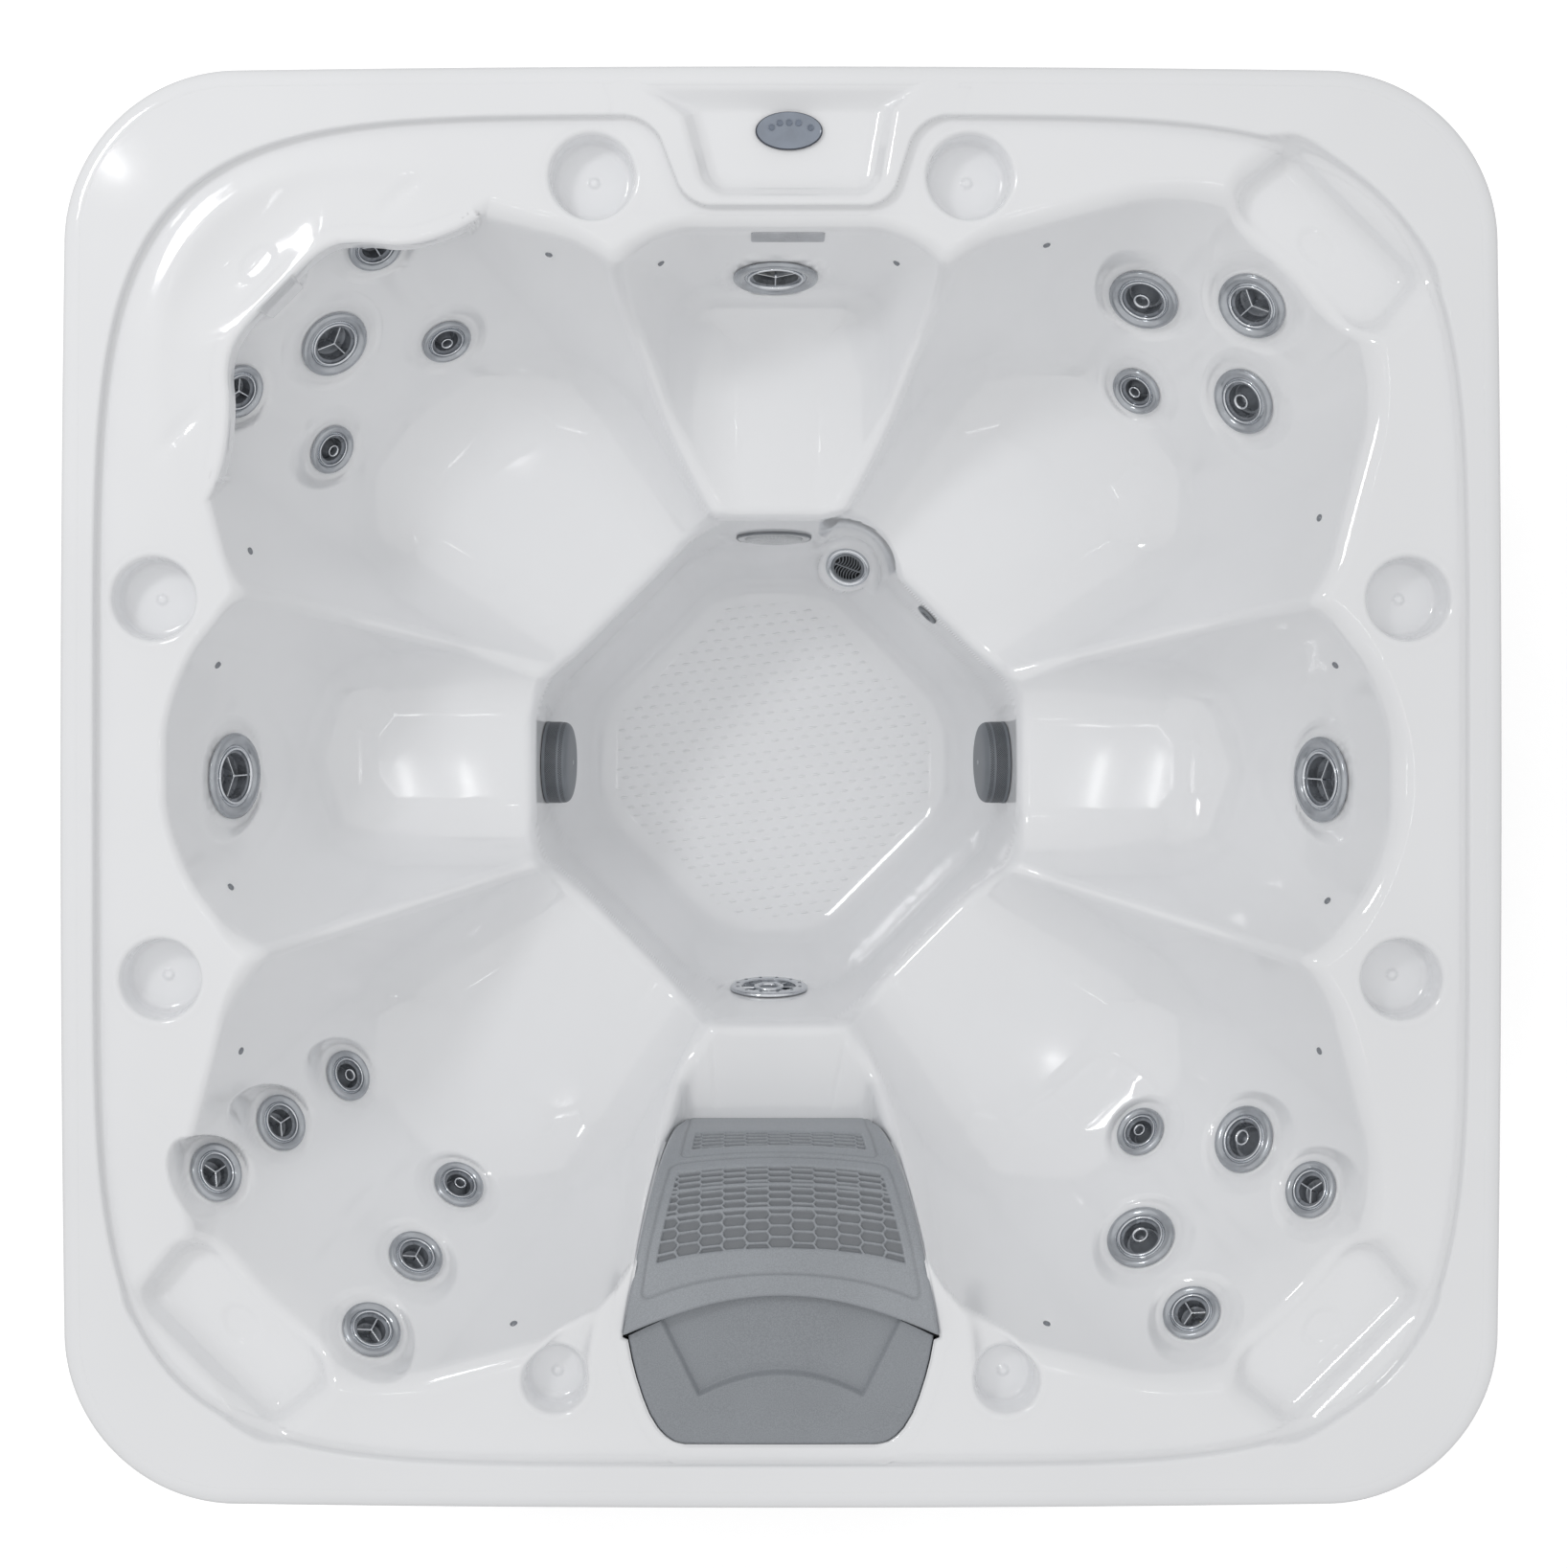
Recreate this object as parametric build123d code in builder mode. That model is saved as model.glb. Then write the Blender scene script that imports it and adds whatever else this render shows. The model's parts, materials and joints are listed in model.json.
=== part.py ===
from build123d import *

# A square acrylic hot tub. Millimetres, +Z up, origin on the floor under the middle of the tub.
# +Y is the back (control panel side), -Y is the front (filter side and access panel).

import os
from dataclasses import dataclass
from math import cos, radians, sin, sqrt, tan

# Driving dimensions of the shell
tub_width = 2134.0
rim_height = 902.0
rim_corner = 250.0
side_bow = 10.0
rim_band = 59.0
deck_height = 885.0
deck_thickness = 17.0
skirt_height = 60.0
skirt_thickness = 14.0
shell_wall = 12.0
edge_round = 16.0
air_top = rim_height + 20

# Heights of the moulded floors
footwell_floor = 80.0
corner_seat = 445.0
side_seat = 460.0
back_seat = 560.0
filter_floor = 540.0
filter_well_floor = 262.0
pillow_shelf = 848.0

# Cabinet
panel_outer = 1022.0
panel_thickness = 12.0
cabinet_corner = 215.0
pan_thickness = 12.0
panel_top = rim_height - skirt_height - 2
timber = 40.0

os.makedirs("parts", exist_ok=True)


@dataclass(frozen=True)
class Wall:
    """A flat wall of a pocket: its turn from the pocket's direction, its distance at floor level
    from the pocket's centre, and its lean away from upright."""

    turn: float
    distance: float
    lean: float


@dataclass(frozen=True)
class Pocket:
    """A moulded pocket with a flat floor and leaning flat walls."""

    azimuth: float
    floor: float
    walls: tuple
    centre_y: float = 0.0
    top: float = air_top


def corner_walls(plus_side, minus_side):
    """The walls of a corner seat: a backrest of three facets, a shoulder and an arm on each side."""
    backrest = (Wall(0, 790, 37), Wall(16, 776, 35.9), Wall(-16, 776, 35.9))
    shoulders = (Wall(60, 541, 21), Wall(-60, 541, 21))
    arms = (Wall(103, *plus_side), Wall(-103, *minus_side))
    return backrest + shoulders + arms + (Wall(180, -300, 0),)


def pillow_recess(azimuth):
    """The shallow shelf behind a corner seat's backrest, for a pillow."""
    walls = (Wall(0, 1228, 30), Wall(32, 1098, 30), Wall(-32, 1098, 30), Wall(84, 250, 30))
    return Pocket(azimuth, pillow_shelf, walls + (Wall(-84, 250, 30), Wall(180, -1000, 0)))


toward_side_seat = (54, 19)
toward_back_seat = (105, 14)
toward_filter = (95, 12)
side_seat_walls = (
    Wall(0, 744, 22), Wall(38, 625, 22), Wall(-38, 625, 22),
    Wall(90, 150, 17.5), Wall(-90, 150, 17.5), Wall(180, -300, 0),
)
back_seat_walls = (
    Wall(0, 767, 11), Wall(45, 640, 14), Wall(-45, 640, 14),
    Wall(90, 140, 24), Wall(-90, 140, 24), Wall(180, -300, 0),
)
filter_bay_walls = (
    Wall(0, 975, 1.5), Wall(42, 800, 6), Wall(-42, 800, 6),
    Wall(90, 150, 14), Wall(-90, 150, 14), Wall(180, -300, 0),
)


def footwell_walls():
    """Eight sides, each a cove that rises from the floor into a steep upper wall."""
    walls = []
    for side in range(8):
        square = side % 2 == 0
        walls.append(Wall(45 * side, 315 if square else 285, 29))
        walls.append(Wall(45 * side, 371 if square else 341, 5))
    return tuple(walls)


collar_underside = 838.0
pockets = {
    "footwell": Pocket(0, footwell_floor, footwell_walls(), centre_y=5.0),
    "back_left": Pocket(135, corner_seat, corner_walls(toward_side_seat, toward_back_seat),
                        top=collar_underside),
    "back_right": Pocket(45, corner_seat, corner_walls(toward_back_seat, toward_side_seat)),
    "front_left": Pocket(225, corner_seat, corner_walls(toward_filter, toward_side_seat)),
    "front_right": Pocket(315, corner_seat, corner_walls(toward_side_seat, toward_filter)),
    "left": Pocket(180, side_seat, side_seat_walls, centre_y=27.0),
    "right": Pocket(0, side_seat, side_seat_walls, centre_y=10.0),
    "back": Pocket(90, back_seat, back_seat_walls),
    "filter": Pocket(270, filter_floor, filter_bay_walls),
    "pillow_back_right": pillow_recess(45),
    "pillow_front_left": pillow_recess(225),
    "pillow_front_right": pillow_recess(315),
}


def wall_plane(pocket, wall, along=0.0, height=None, behind=0.0):
    """A plane on a pocket's wall, its normal pointing into the pocket.

    along is the distance sideways from the wall's middle, height the height above the ground,
    and behind a distance into the wall, square to it.
    """
    azimuth = radians(pocket.azimuth + wall.turn)
    lean = radians(wall.lean)
    level = pocket.floor if height is None else height
    reach = wall.distance + (level - pocket.floor) * tan(lean)
    outward = Vector(cos(azimuth), sin(azimuth), 0)
    sideways = Vector(-sin(azimuth), cos(azimuth), 0)
    normal = outward * -cos(lean) + Vector(0, 0, sin(lean))
    origin = Vector(0, pocket.centre_y, level) + outward * reach + sideways * along - normal * behind
    return Plane(origin=origin, x_dir=sideways, z_dir=normal)


def pocket_block(pocket, grow=0.0, top=None, sink=None):
    """The solid that fills a pocket up to its top, grown on every wall, its floor sunk as much."""
    low = pocket.floor - (grow if sink is None else sink)
    depth = (pocket.top if top is None else top) - low
    with BuildPart() as block:
        with Locations((0, 0, low)):
            Box(tub_width, tub_width, depth, align=(Align.CENTER, Align.CENTER, Align.MIN))
        for wall in pocket.walls:
            split(bisect_by=wall_plane(pocket, wall, behind=grow), keep=Keep.TOP)
    return block.part


def bowed_square(half_width, bow, corner):
    """A square whose sides bow outwards and whose corners are rounded."""
    inner = half_width - bow
    with BuildSketch() as outline:
        with BuildLine():
            ThreePointArc((-inner, -inner), (0, -half_width), (inner, -inner))
            ThreePointArc((inner, -inner), (half_width, 0), (inner, inner))
            ThreePointArc((inner, inner), (0, half_width), (-inner, inner))
            ThreePointArc((-inner, inner), (-half_width, 0), (-inner, -inner))
        make_face()
        fillet(outline.vertices(), corner)
    return outline.sketch


# The fittings on the pocket walls. A fitting has a name, a pocket, a turn, a distance sideways,
# a height, and its outside diameter.
@dataclass(frozen=True)
class Fitting:
    name: str
    pocket: str
    turn: float
    along: float
    height: float
    diameter: float
    kind: str = "star"

    def plane(self):
        pocket = pockets[self.pocket]
        steep = [wall for wall in pocket.walls if wall.turn == self.turn][-1]
        return wall_plane(pocket, steep, self.along, self.height)


jets = (
    Fitting("jet_back_left_centre", "back_left", 0, 9, 692, 112),
    Fitting("jet_back_left_lumbar_inner", "back_left", -16, 127, 581, 82, "nozzle"),
    Fitting("jet_back_left_lumbar_outer", "back_left", 16, -113, 594, 82, "nozzle"),
    Fitting("jet_back_left_neck_inner", "back_left", -16, 144, 778, 85),
    Fitting("jet_back_left_neck_outer", "back_left", 16, -123, 775, 85),
    Fitting("jet_back_right_upper_inner", "back_right", 16, -136, 672, 112, "nozzle"),
    Fitting("jet_back_right_neck", "back_right", 0, 5, 764, 110),
    Fitting("jet_back_right_lumbar", "back_right", 0, 29, 537, 84, "nozzle"),
    Fitting("jet_back_right_upper_outer", "back_right", -16, 166, 661, 108, "nozzle"),
    Fitting("jet_back", "back", 0, 5, 680, 134),
    Fitting("jet_left", "left", 0, 19, 718, 134),
    Fitting("jet_right", "right", 0, -8, 711, 134),
    Fitting("jet_front_left_outer_top", "front_left", -16, 100, 803, 90),
    Fitting("jet_front_left_outer_middle", "front_left", -16, 92, 680, 90),
    Fitting("jet_front_left_outer_low", "front_left", -16, 88, 547, 84, "nozzle"),
    Fitting("jet_front_left_inner_low", "front_left", 16, -131, 532, 84, "nozzle"),
    Fitting("jet_front_left_inner_middle", "front_left", 16, -136, 666, 88),
    Fitting("jet_front_left_inner_top", "front_left", 16, -141, 794, 92),
    Fitting("jet_front_right_lumbar", "front_right", 0, 7, 510, 84, "nozzle"),
    Fitting("jet_front_right_outer", "front_right", 16, -142, 648, 108, "nozzle"),
    Fitting("jet_front_right_outer_top", "front_right", 16, -150, 773, 88),
    Fitting("jet_front_right_inner", "front_right", -16, 150, 640, 110, "nozzle"),
    Fitting("jet_front_right_inner_top", "front_right", -16, 158, 775, 90),
    Fitting("jet_foot", "footwell", 270, -11, 290, 135, "foot"),
)
waterline_lights = (
    Fitting("light", "back_left", -60, 545, 815, 12),
    Fitting("light", "back_left", 60, -548, 815, 12),
    Fitting("light", "back", 45, -433, 783, 12),
    Fitting("light", "back", -45, 436, 780, 12),
    Fitting("light", "back_right", 60, -600, 815, 12),
    Fitting("light", "back_right", -60, 600, 815, 12),
    Fitting("light", "left", -38, 403, 812, 12),
    Fitting("light", "left", 38, -368, 812, 12),
    Fitting("light", "right", 38, -383, 812, 12),
    Fitting("light", "right", -38, 363, 812, 12),
    Fitting("light", "front_left", -60, 600, 815, 12),
    Fitting("light", "front_left", 60, -600, 815, 12),
    Fitting("light", "front_right", -60, 600, 815, 12),
    Fitting("light", "front_right", 60, -600, 815, 12),
)
suction_left = Fitting("suction_cover_left", "footwell", 180, -7, 330, 141)
suction_right = Fitting("suction_cover_right", "footwell", 0, 7, 330, 141)
footwell_light = Fitting("light_lens", "footwell", 90, 3, 345, 128)
ozone_outlet = Fitting("ozone_fitting", "footwell", 45, 2, 378, 40)
bare_plate_place = Fitting("bare_plate", "back", 0, -11, 845, 110)

# The return grille sits on a moulded boss that faces up towards the middle of the footwell.
return_diameter = 79.0
return_boss = 104.0
return_plane = Plane(origin=(130, 353, 212), x_dir=(0.94, -0.342, 0), z_dir=(-0.2, -0.55, 0.81))

# Cup holders: places on the back half and the front half, with their opening radius.
cup_depth = 55.0
cups = (
    (-280, 905, 64), (280, 905, 64), (-930, 279, 62), (930, 279, 62),
    (-920, -285, 60), (920, -285, 60), (-335, -880, 48), (335, -880, 48),
)

# Jet parts, as shares of a jet's radius and as clearances
barrel_share = 0.62
bezel_share = 0.72
jet_gap = 2.0
bezel_height = 7.0
barrel_depth = 48.0
jet_body_wall = 3.7
stem_clearance = 2.0
stem_wall = 3.0

# Filter bay
filter_centre = (0, -800)
well_radius = 98.0
cowl_front = -557.0
cowl_rear = -818.0
cowl_arc = -752.0
cowl_top = 897.0
cowl_crown_start = -800.0
cowl_drop = 287.0
cowl_skin = 4.0
lid_axis = (-835.0, 863.0)
lid_corner = 220.0
lid_post = (210.0, 8.0)
weir_axis = (-640.0, 640.0)


def disc(plane, low, high, radius, hole=0.0):
    """A round disc or ring square to a plane, between two distances from it."""
    with BuildPart() as ring:
        with BuildSketch(plane.offset(low)):
            Circle(radius)
            if hole:
                Circle(hole, mode=Mode.SUBTRACT)
        extrude(amount=high - low)
    return ring.part


def tray_outline(inset=0.0):
    """The recessed tray of the control panel: wide at the rim, narrow towards the back seat."""
    with BuildSketch(Plane.XY.offset(deck_height - 9)) as outline:
        with BuildLine():
            Polyline((-172 + inset, 1046), (190 - inset, 1046), (148 - inset, 905), (120, 876),
                     (-82, 876), (-107 + inset, 905), close=True)
        make_face()
        fillet(outline.vertices().group_by(Axis.Y)[0], 18)
    return outline.sketch


def collar_opening():
    """The opening of the back left seat above its collar, which hangs over two jets."""
    with BuildPart() as opening:
        with BuildSketch(Plane.XY.offset(collar_underside)):
            with BuildLine():
                Polyline((0, 880), (-403, 864), (-480, 838), (-560, 842), (-663, 812), (-807, 666),
                         (-818, 590), (-817, 506), (-864, 375), (-880, 0), (0, 0), close=True)
            make_face()
        extrude(amount=air_top - collar_underside)
        add(pocket_block(pockets["back_left"], top=air_top), mode=Mode.INTERSECT)
    return opening.part


def filter_lid_outline(shrink=0.0):
    """The lid behind the cowl, with its front edge on the cowl's arc."""
    with BuildSketch(Plane.XY.offset(874)) as outline:
        with BuildLine():
            ThreePointArc((-lid_corner + shrink, -822 - shrink), (0, cowl_arc - 4 - shrink),
                          (lid_corner - shrink, -822 - shrink))
            ThreePointArc((lid_corner - shrink, -822 - shrink), (208 - shrink, -898), (168 - shrink, -966))
            Line((168 - shrink, -966), (140 - shrink, -974 + shrink))
            Line((140 - shrink, -974 + shrink), (-140 + shrink, -974 + shrink))
            Line((-140 + shrink, -974 + shrink), (-168 + shrink, -966))
            ThreePointArc((-168 + shrink, -966), (-208 + shrink, -898), (-lid_corner + shrink, -822 - shrink))
        make_face()
    return outline.sketch


def cowl_block(skin=0.0, rear_reach=0.0):
    """The space under the cowl's curved top, cut to its plan and to the filter bay."""
    floor = filter_floor + 1 - rear_reach
    front = cowl_front - skin
    half = 157 - skin
    with BuildPart() as block:
        with BuildSketch(Plane.XY.offset(floor)):
            with BuildLine():
                Line((-half, front), (half, front))
                ThreePointArc((half, front), (207 - skin, -690), (235 - skin, cowl_rear))
                Line((235 - skin, cowl_rear), (235 - skin, cowl_rear - rear_reach - 0.1))
                ThreePointArc((235 - skin, cowl_rear - rear_reach - 0.1), (0, cowl_arc - rear_reach),
                              (-235 + skin, cowl_rear - rear_reach - 0.1))
                Line((-235 + skin, cowl_rear - rear_reach - 0.1), (-235 + skin, cowl_rear))
                ThreePointArc((-235 + skin, cowl_rear), (-207 + skin, -690), (-half, front))
            make_face()
        extrude(amount=cowl_top - floor)
        with BuildSketch(Plane.YZ.offset(-300)):
            with BuildLine():
                low = cowl_top - cowl_drop
                across = front - cowl_crown_start
                rise = cowl_drop - skin
                Line((front, floor), (front, low))
                EllipticalCenterArc((cowl_crown_start, low), across, rise, start_angle=0, arc_size=90)
                Line((cowl_crown_start, low + rise), (-1000, low + rise))
                Line((-1000, low + rise), (-1000, floor))
                Line((-1000, floor), (front, floor))
            make_face()
        extrude(amount=600, mode=Mode.INTERSECT)
        add(pocket_block(pockets["filter"], -3 - skin, cowl_top, sink=rear_reach), mode=Mode.INTERSECT)
    return block.part


fitting_cuts = []
for jet in jets:
    fitting_cuts.append(disc(jet.plane(), -24, 12, barrel_share * jet.diameter / 2))
    fitting_cuts.append(disc(jet.plane(), 0, 22, jet.diameter / 2 + 3))
for light in waterline_lights:
    fitting_cuts.append(disc(light.plane(), -20, 8, light.diameter / 2))
for cover in (suction_left, suction_right):
    fitting_cuts.append(disc(cover.plane(), -20, 5, 38))
fitting_cuts.append(disc(footwell_light.plane(), -20, 5, 46))
fitting_cuts.append(disc(ozone_outlet.plane(), -20, 5, 13))

outer_blocks = [pocket_block(pocket, shell_wall, top=deck_height) for pocket in pockets.values()]
inner_blocks = [pocket_block(pocket) for pocket in pockets.values()]
collar_block = collar_opening()
return_boss_block = disc(return_plane, -58, 0, return_boss / 2)
return_clearance = disc(return_plane, 0, 60, return_boss / 2)
return_bore = disc(return_plane, -80, 5, 30)

# The shell: a rim slab with a deck, and pockets that hang from it with walls of one thickness
with BuildPart() as shell:
    with BuildSketch(Plane.XY.offset(rim_height - skirt_height)):
        add(bowed_square(tub_width / 2, side_bow, rim_corner))
    extrude(amount=skirt_height)
    fillet(shell.faces().sort_by(Axis.Z)[-1].edges(), edge_round)
    with BuildSketch(Plane.XY.offset(rim_height - skirt_height)):
        add(bowed_square(tub_width / 2 - skirt_thickness, side_bow, rim_corner - skirt_thickness))
    extrude(amount=skirt_height - (rim_height - deck_height) - deck_thickness, mode=Mode.SUBTRACT)
    add(outer_blocks)
    with BuildSketch(Plane.XY.offset(deck_height - cup_depth - shell_wall)):
        for x, y, radius in cups:
            with Locations((x, y)):
                Circle(radius + shell_wall)
    extrude(amount=cup_depth + shell_wall)
    with BuildSketch(Plane.XY.offset(filter_well_floor - shell_wall)):
        with Locations(filter_centre):
            Circle(well_radius + shell_wall)
    extrude(amount=filter_floor - filter_well_floor)
    with BuildSketch(Plane.XY.offset(deck_height)):
        add(bowed_square(tub_width / 2 - rim_band, side_bow - 2, rim_corner - rim_band))
    extrude(amount=rim_height - deck_height, mode=Mode.SUBTRACT)
    add(inner_blocks, mode=Mode.SUBTRACT)
    add(return_boss_block)
    add(return_clearance, mode=Mode.SUBTRACT)
    add(return_bore, mode=Mode.SUBTRACT)
    add(collar_block, mode=Mode.SUBTRACT)
    with BuildSketch(Plane.XY.offset(deck_height - cup_depth)):
        for x, y, radius in cups:
            with Locations((x, y)):
                Circle(radius)
    extrude(amount=air_top - deck_height + cup_depth, mode=Mode.SUBTRACT)
    with BuildSketch(Plane.XY.offset(filter_well_floor)):
        with Locations(filter_centre):
            Circle(well_radius)
    extrude(amount=filter_floor - filter_well_floor + 5, mode=Mode.SUBTRACT)
    with BuildSketch(Plane.XY.offset(deck_height - 9)):
        add(tray_outline())
    extrude(amount=40, mode=Mode.SUBTRACT)
    with BuildSketch(Plane.XY.offset(deck_height - 60)):
        with Locations((12, 973)):
            Rectangle(84, 40)
    extrude(amount=60, mode=Mode.SUBTRACT)
    add(fitting_cuts, mode=Mode.SUBTRACT)

# The shell is one moulding. Its node holds it as nine solids that meet at flat cuts, the footwell
# and eight round it, so that each hollow keeps its own walls in simulation.
zone_cut = 195.0
footwell_zone = 860.0
zone_level = corner_seat - shell_wall
with BuildPart() as shell_footwell:
    add(shell.part)
    with Locations((0, 0, zone_level)):
        Box(footwell_zone, footwell_zone, zone_level,
            align=(Align.CENTER, Align.CENTER, Align.MAX), mode=Mode.INTERSECT)
with BuildPart() as shell_seats:
    add(shell.part)
    with Locations((0, 0, zone_level)):
        Box(footwell_zone, footwell_zone, zone_level,
            align=(Align.CENTER, Align.CENTER, Align.MAX), mode=Mode.SUBTRACT)
    for place in (-zone_cut, zone_cut):
        split(bisect_by=Plane.YZ.offset(place), keep=Keep.BOTH)
        split(bisect_by=Plane.XZ.offset(place), keep=Keep.BOTH)
shell_zones = Part(shell_footwell.solids() + shell_seats.solids(), label="shell")
export_step(shell_zones, "parts/shell.step")


def spokes(plane, low, high, reach, width):
    """Three flat spokes that meet in a round hub."""
    with BuildPart() as star:
        with BuildSketch(plane.offset(low)):
            Circle(width * 1.2)
            with PolarLocations(reach / 2, 3):
                Rectangle(reach, width)
        extrude(amount=high - low)
    return star.part


def jet_face(jet):
    """A jet's turning face: bezel, dish and stem, with a three-spoke star or a nozzle tube."""
    plane = jet.plane()
    radius = jet.diameter / 2
    stem = barrel_share * radius - jet_body_wall - stem_clearance
    bore = stem - stem_wall
    top = jet_gap + bezel_height
    with BuildPart() as face:
        add(disc(plane, jet_gap, top - 3, radius, bezel_share * radius))
        add(disc(plane, top - 3, top, radius - 3, bezel_share * radius))
        add(disc(plane, jet_gap, jet_gap + 3, bezel_share * radius, bore))
        add(disc(plane, -22, jet_gap + 3, stem, bore))
        add(spokes(plane, -16, -12, bore + 1, 4))
        if jet.kind == "star":
            add(spokes(plane, -12, jet_gap + 2, bore + 1, 5))
        else:
            add(disc(plane, -16, top, 0.2 * radius, 0.12 * radius))
    return face.part


def jet_body(jet):
    """The housing behind the shell: barrel, clamping nut and water inlet."""
    plane = jet.plane()
    radius = barrel_share * jet.diameter / 2 - 0.3
    with BuildPart() as body:
        add(disc(plane, -barrel_depth, -0.5, radius, radius - jet_body_wall))
        add(disc(plane, -barrel_depth - 4, -barrel_depth, radius, 7))
        add(disc(plane, -barrel_depth - 30, -barrel_depth - 4, 11, 7))
        add(disc(plane, -22, -shell_wall, 0.85 * jet.diameter / 2, radius - 1))
    return body.part


def suction_cover(fitting, label):
    """A slotted drum with a rounded front and a thin flange against the wall."""
    plane = fitting.plane()
    radius = fitting.diameter / 2 - 1
    with BuildPart() as cover:
        add(disc(plane, 0, 4, fitting.diameter / 2, radius - 4))
        add(disc(plane, 4, 45, radius))
        front = cover.edges().sort_by(lambda edge: plane.to_local_coords(edge.center()).Z)[-1]
        fillet(front, 10)
        add(disc(plane, 4, 40, radius - 4), mode=Mode.SUBTRACT)
        with BuildSketch(plane.offset(10)):
            with PolarLocations(radius - 3, 20):
                Rectangle(12, 5)
        extrude(amount=16, mode=Mode.SUBTRACT)
    cover.part.label = label
    return cover


# Jets: one turning face each, and the housings behind the shell as one group
for jet in jets:
    face = jet_face(jet)
    face.label = jet.name
    export_step(face, f"parts/{jet.name}.step")

jet_housings = [jet_body(jet) for jet in jets]
with BuildPart() as jet_bodies:
    add(jet_housings)
jet_bodies.part.label = "jet_bodies"
export_step(jet_bodies.part, "parts/jet_bodies.step")

# Footwell fittings
for fitting in (suction_left, suction_right):
    cover = suction_cover(fitting, fitting.name)
    export_step(cover.part, f"parts/{fitting.name}.step")

with BuildPart() as suction_fittings:
    for fitting in (suction_left, suction_right):
        add(disc(fitting.plane(), -74, 2, 36, 24))
        add(disc(fitting.plane(), -24, -shell_wall, 54, 35))
suction_fittings.part.label = "suction_fittings"
export_step(suction_fittings.part, "parts/suction_fittings.step")

with BuildPart() as light_lens:
    add(disc(footwell_light.plane(), 0, 5, 64))
    add(disc(footwell_light.plane(), 5, 9, 48))
light_lens.part.label = "light_lens"
export_step(light_lens.part, "parts/light_lens.step")

with BuildPart() as light_housing:
    add(disc(footwell_light.plane(), -60, -1, 44, 40))
    add(disc(footwell_light.plane(), -64, -60, 44))
    add(disc(footwell_light.plane(), -22, -shell_wall, 58, 43))
light_housing.part.label = "light_housing"
export_step(light_housing.part, "parts/light_housing.step")

with BuildPart() as return_grille:
    add(disc(return_plane, 0, 7, return_diameter / 2, 26))
    add(disc(return_plane, -70, 4, 29, 26))
    add(disc(return_plane, 0, 4, 27))
    with BuildSketch(return_plane):
        with Locations((-9, 0), (9, 0)):
            with GridLocations(0, 5, 1, 8):
                Rectangle(14, 2)
    extrude(amount=4, mode=Mode.SUBTRACT)
return_grille.part.label = "return_grille"
export_step(return_grille.part, "parts/return_grille.step")

with BuildPart() as ozone_fitting:
    add(disc(ozone_outlet.plane(), 0, 5, ozone_outlet.diameter / 2, 7))
    add(disc(ozone_outlet.plane(), -46, 1, 12, 7))
    add(disc(ozone_outlet.plane(), -20, -shell_wall, 18, 11))
ozone_fitting.part.label = "ozone_fitting"
export_step(ozone_fitting.part, "parts/ozone_fitting.step")

with BuildPart() as waterline_points:
    for light in waterline_lights:
        add(disc(light.plane(), -18, 1.5, light.diameter / 2 - 0.2))
waterline_points.part.label = "waterline_lights"
export_step(waterline_points.part, "parts/waterline_lights.step")

with BuildPart() as bare_plate:
    with BuildSketch(bare_plate_place.plane()):
        RectangleRounded(110, 34, 4)
    extrude(amount=2)
bare_plate.part.label = "bare_plate"
export_step(bare_plate.part, "parts/bare_plate.step")

# Control panel: an oval case let into the tray, with five keys
panel_centre = (12, 973)
panel_floor = deck_height - 9
panel_rise = 8.0
key_radius = 4.8
key_travel = 0.8
keys = {"key_1": (-26, 4.5), "key_2": (-14, 11), "key_3": (0, 11.5), "key_4": (14, 11), "key_5": (32, 4)}
with BuildPart() as control_panel:
    with BuildSketch(Plane.XY.offset(panel_floor)):
        with Locations(panel_centre):
            Ellipse(50, 28.5)
    extrude(amount=panel_rise)
    fillet(control_panel.faces().sort_by(Axis.Z)[-1].edges(), 2.5)
    with BuildSketch(Plane.XY.offset(panel_floor - 34)):
        with Locations(panel_centre):
            Rectangle(80, 36)
    extrude(amount=34)
    with BuildSketch(Plane.XY.offset(panel_floor + 2)):
        for x, y in keys.values():
            with Locations((panel_centre[0] + x, panel_centre[1] + y)):
                Circle(key_radius + 0.08)
    extrude(amount=panel_rise, mode=Mode.SUBTRACT)
control_panel.part.label = "control_panel"
export_step(control_panel.part, "parts/control_panel.step")

for name, (x, y) in keys.items():
    with BuildPart() as key:
        with BuildSketch(Plane.XY.offset(panel_floor + 3)):
            with Locations((panel_centre[0] + x, panel_centre[1] + y)):
                Circle(key_radius)
        extrude(amount=panel_rise - 3 + 1.2)
        fillet(key.faces().sort_by(Axis.Z)[-1].edges(), 0.6)
    key.part.label = name
    export_step(key.part, f"parts/{name}.step")

# Filter: canister, cartridge, sloping cowl with slots, weir flap and lid
with BuildPart() as filter_canister:
    with BuildSketch(Plane.XY.offset(filter_well_floor)):
        with Locations(filter_centre):
            Circle(95)
    extrude(amount=4)
    with BuildSketch(Plane.XY.offset(filter_well_floor + 4)):
        with Locations(filter_centre):
            Circle(95)
            Circle(91, mode=Mode.SUBTRACT)
    extrude(amount=298)
    with BuildSketch(Plane.XY.offset(filter_floor)):
        with Locations(filter_centre):
            Circle(118)
            Circle(93, mode=Mode.SUBTRACT)
    extrude(amount=6)
    with BuildSketch(Plane.XY.offset(filter_well_floor + 4)):
        with Locations(filter_centre):
            Circle(20)
    extrude(amount=34)
filter_canister.part.label = "filter_canister"
export_step(filter_canister.part, "parts/filter_canister.step")

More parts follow.
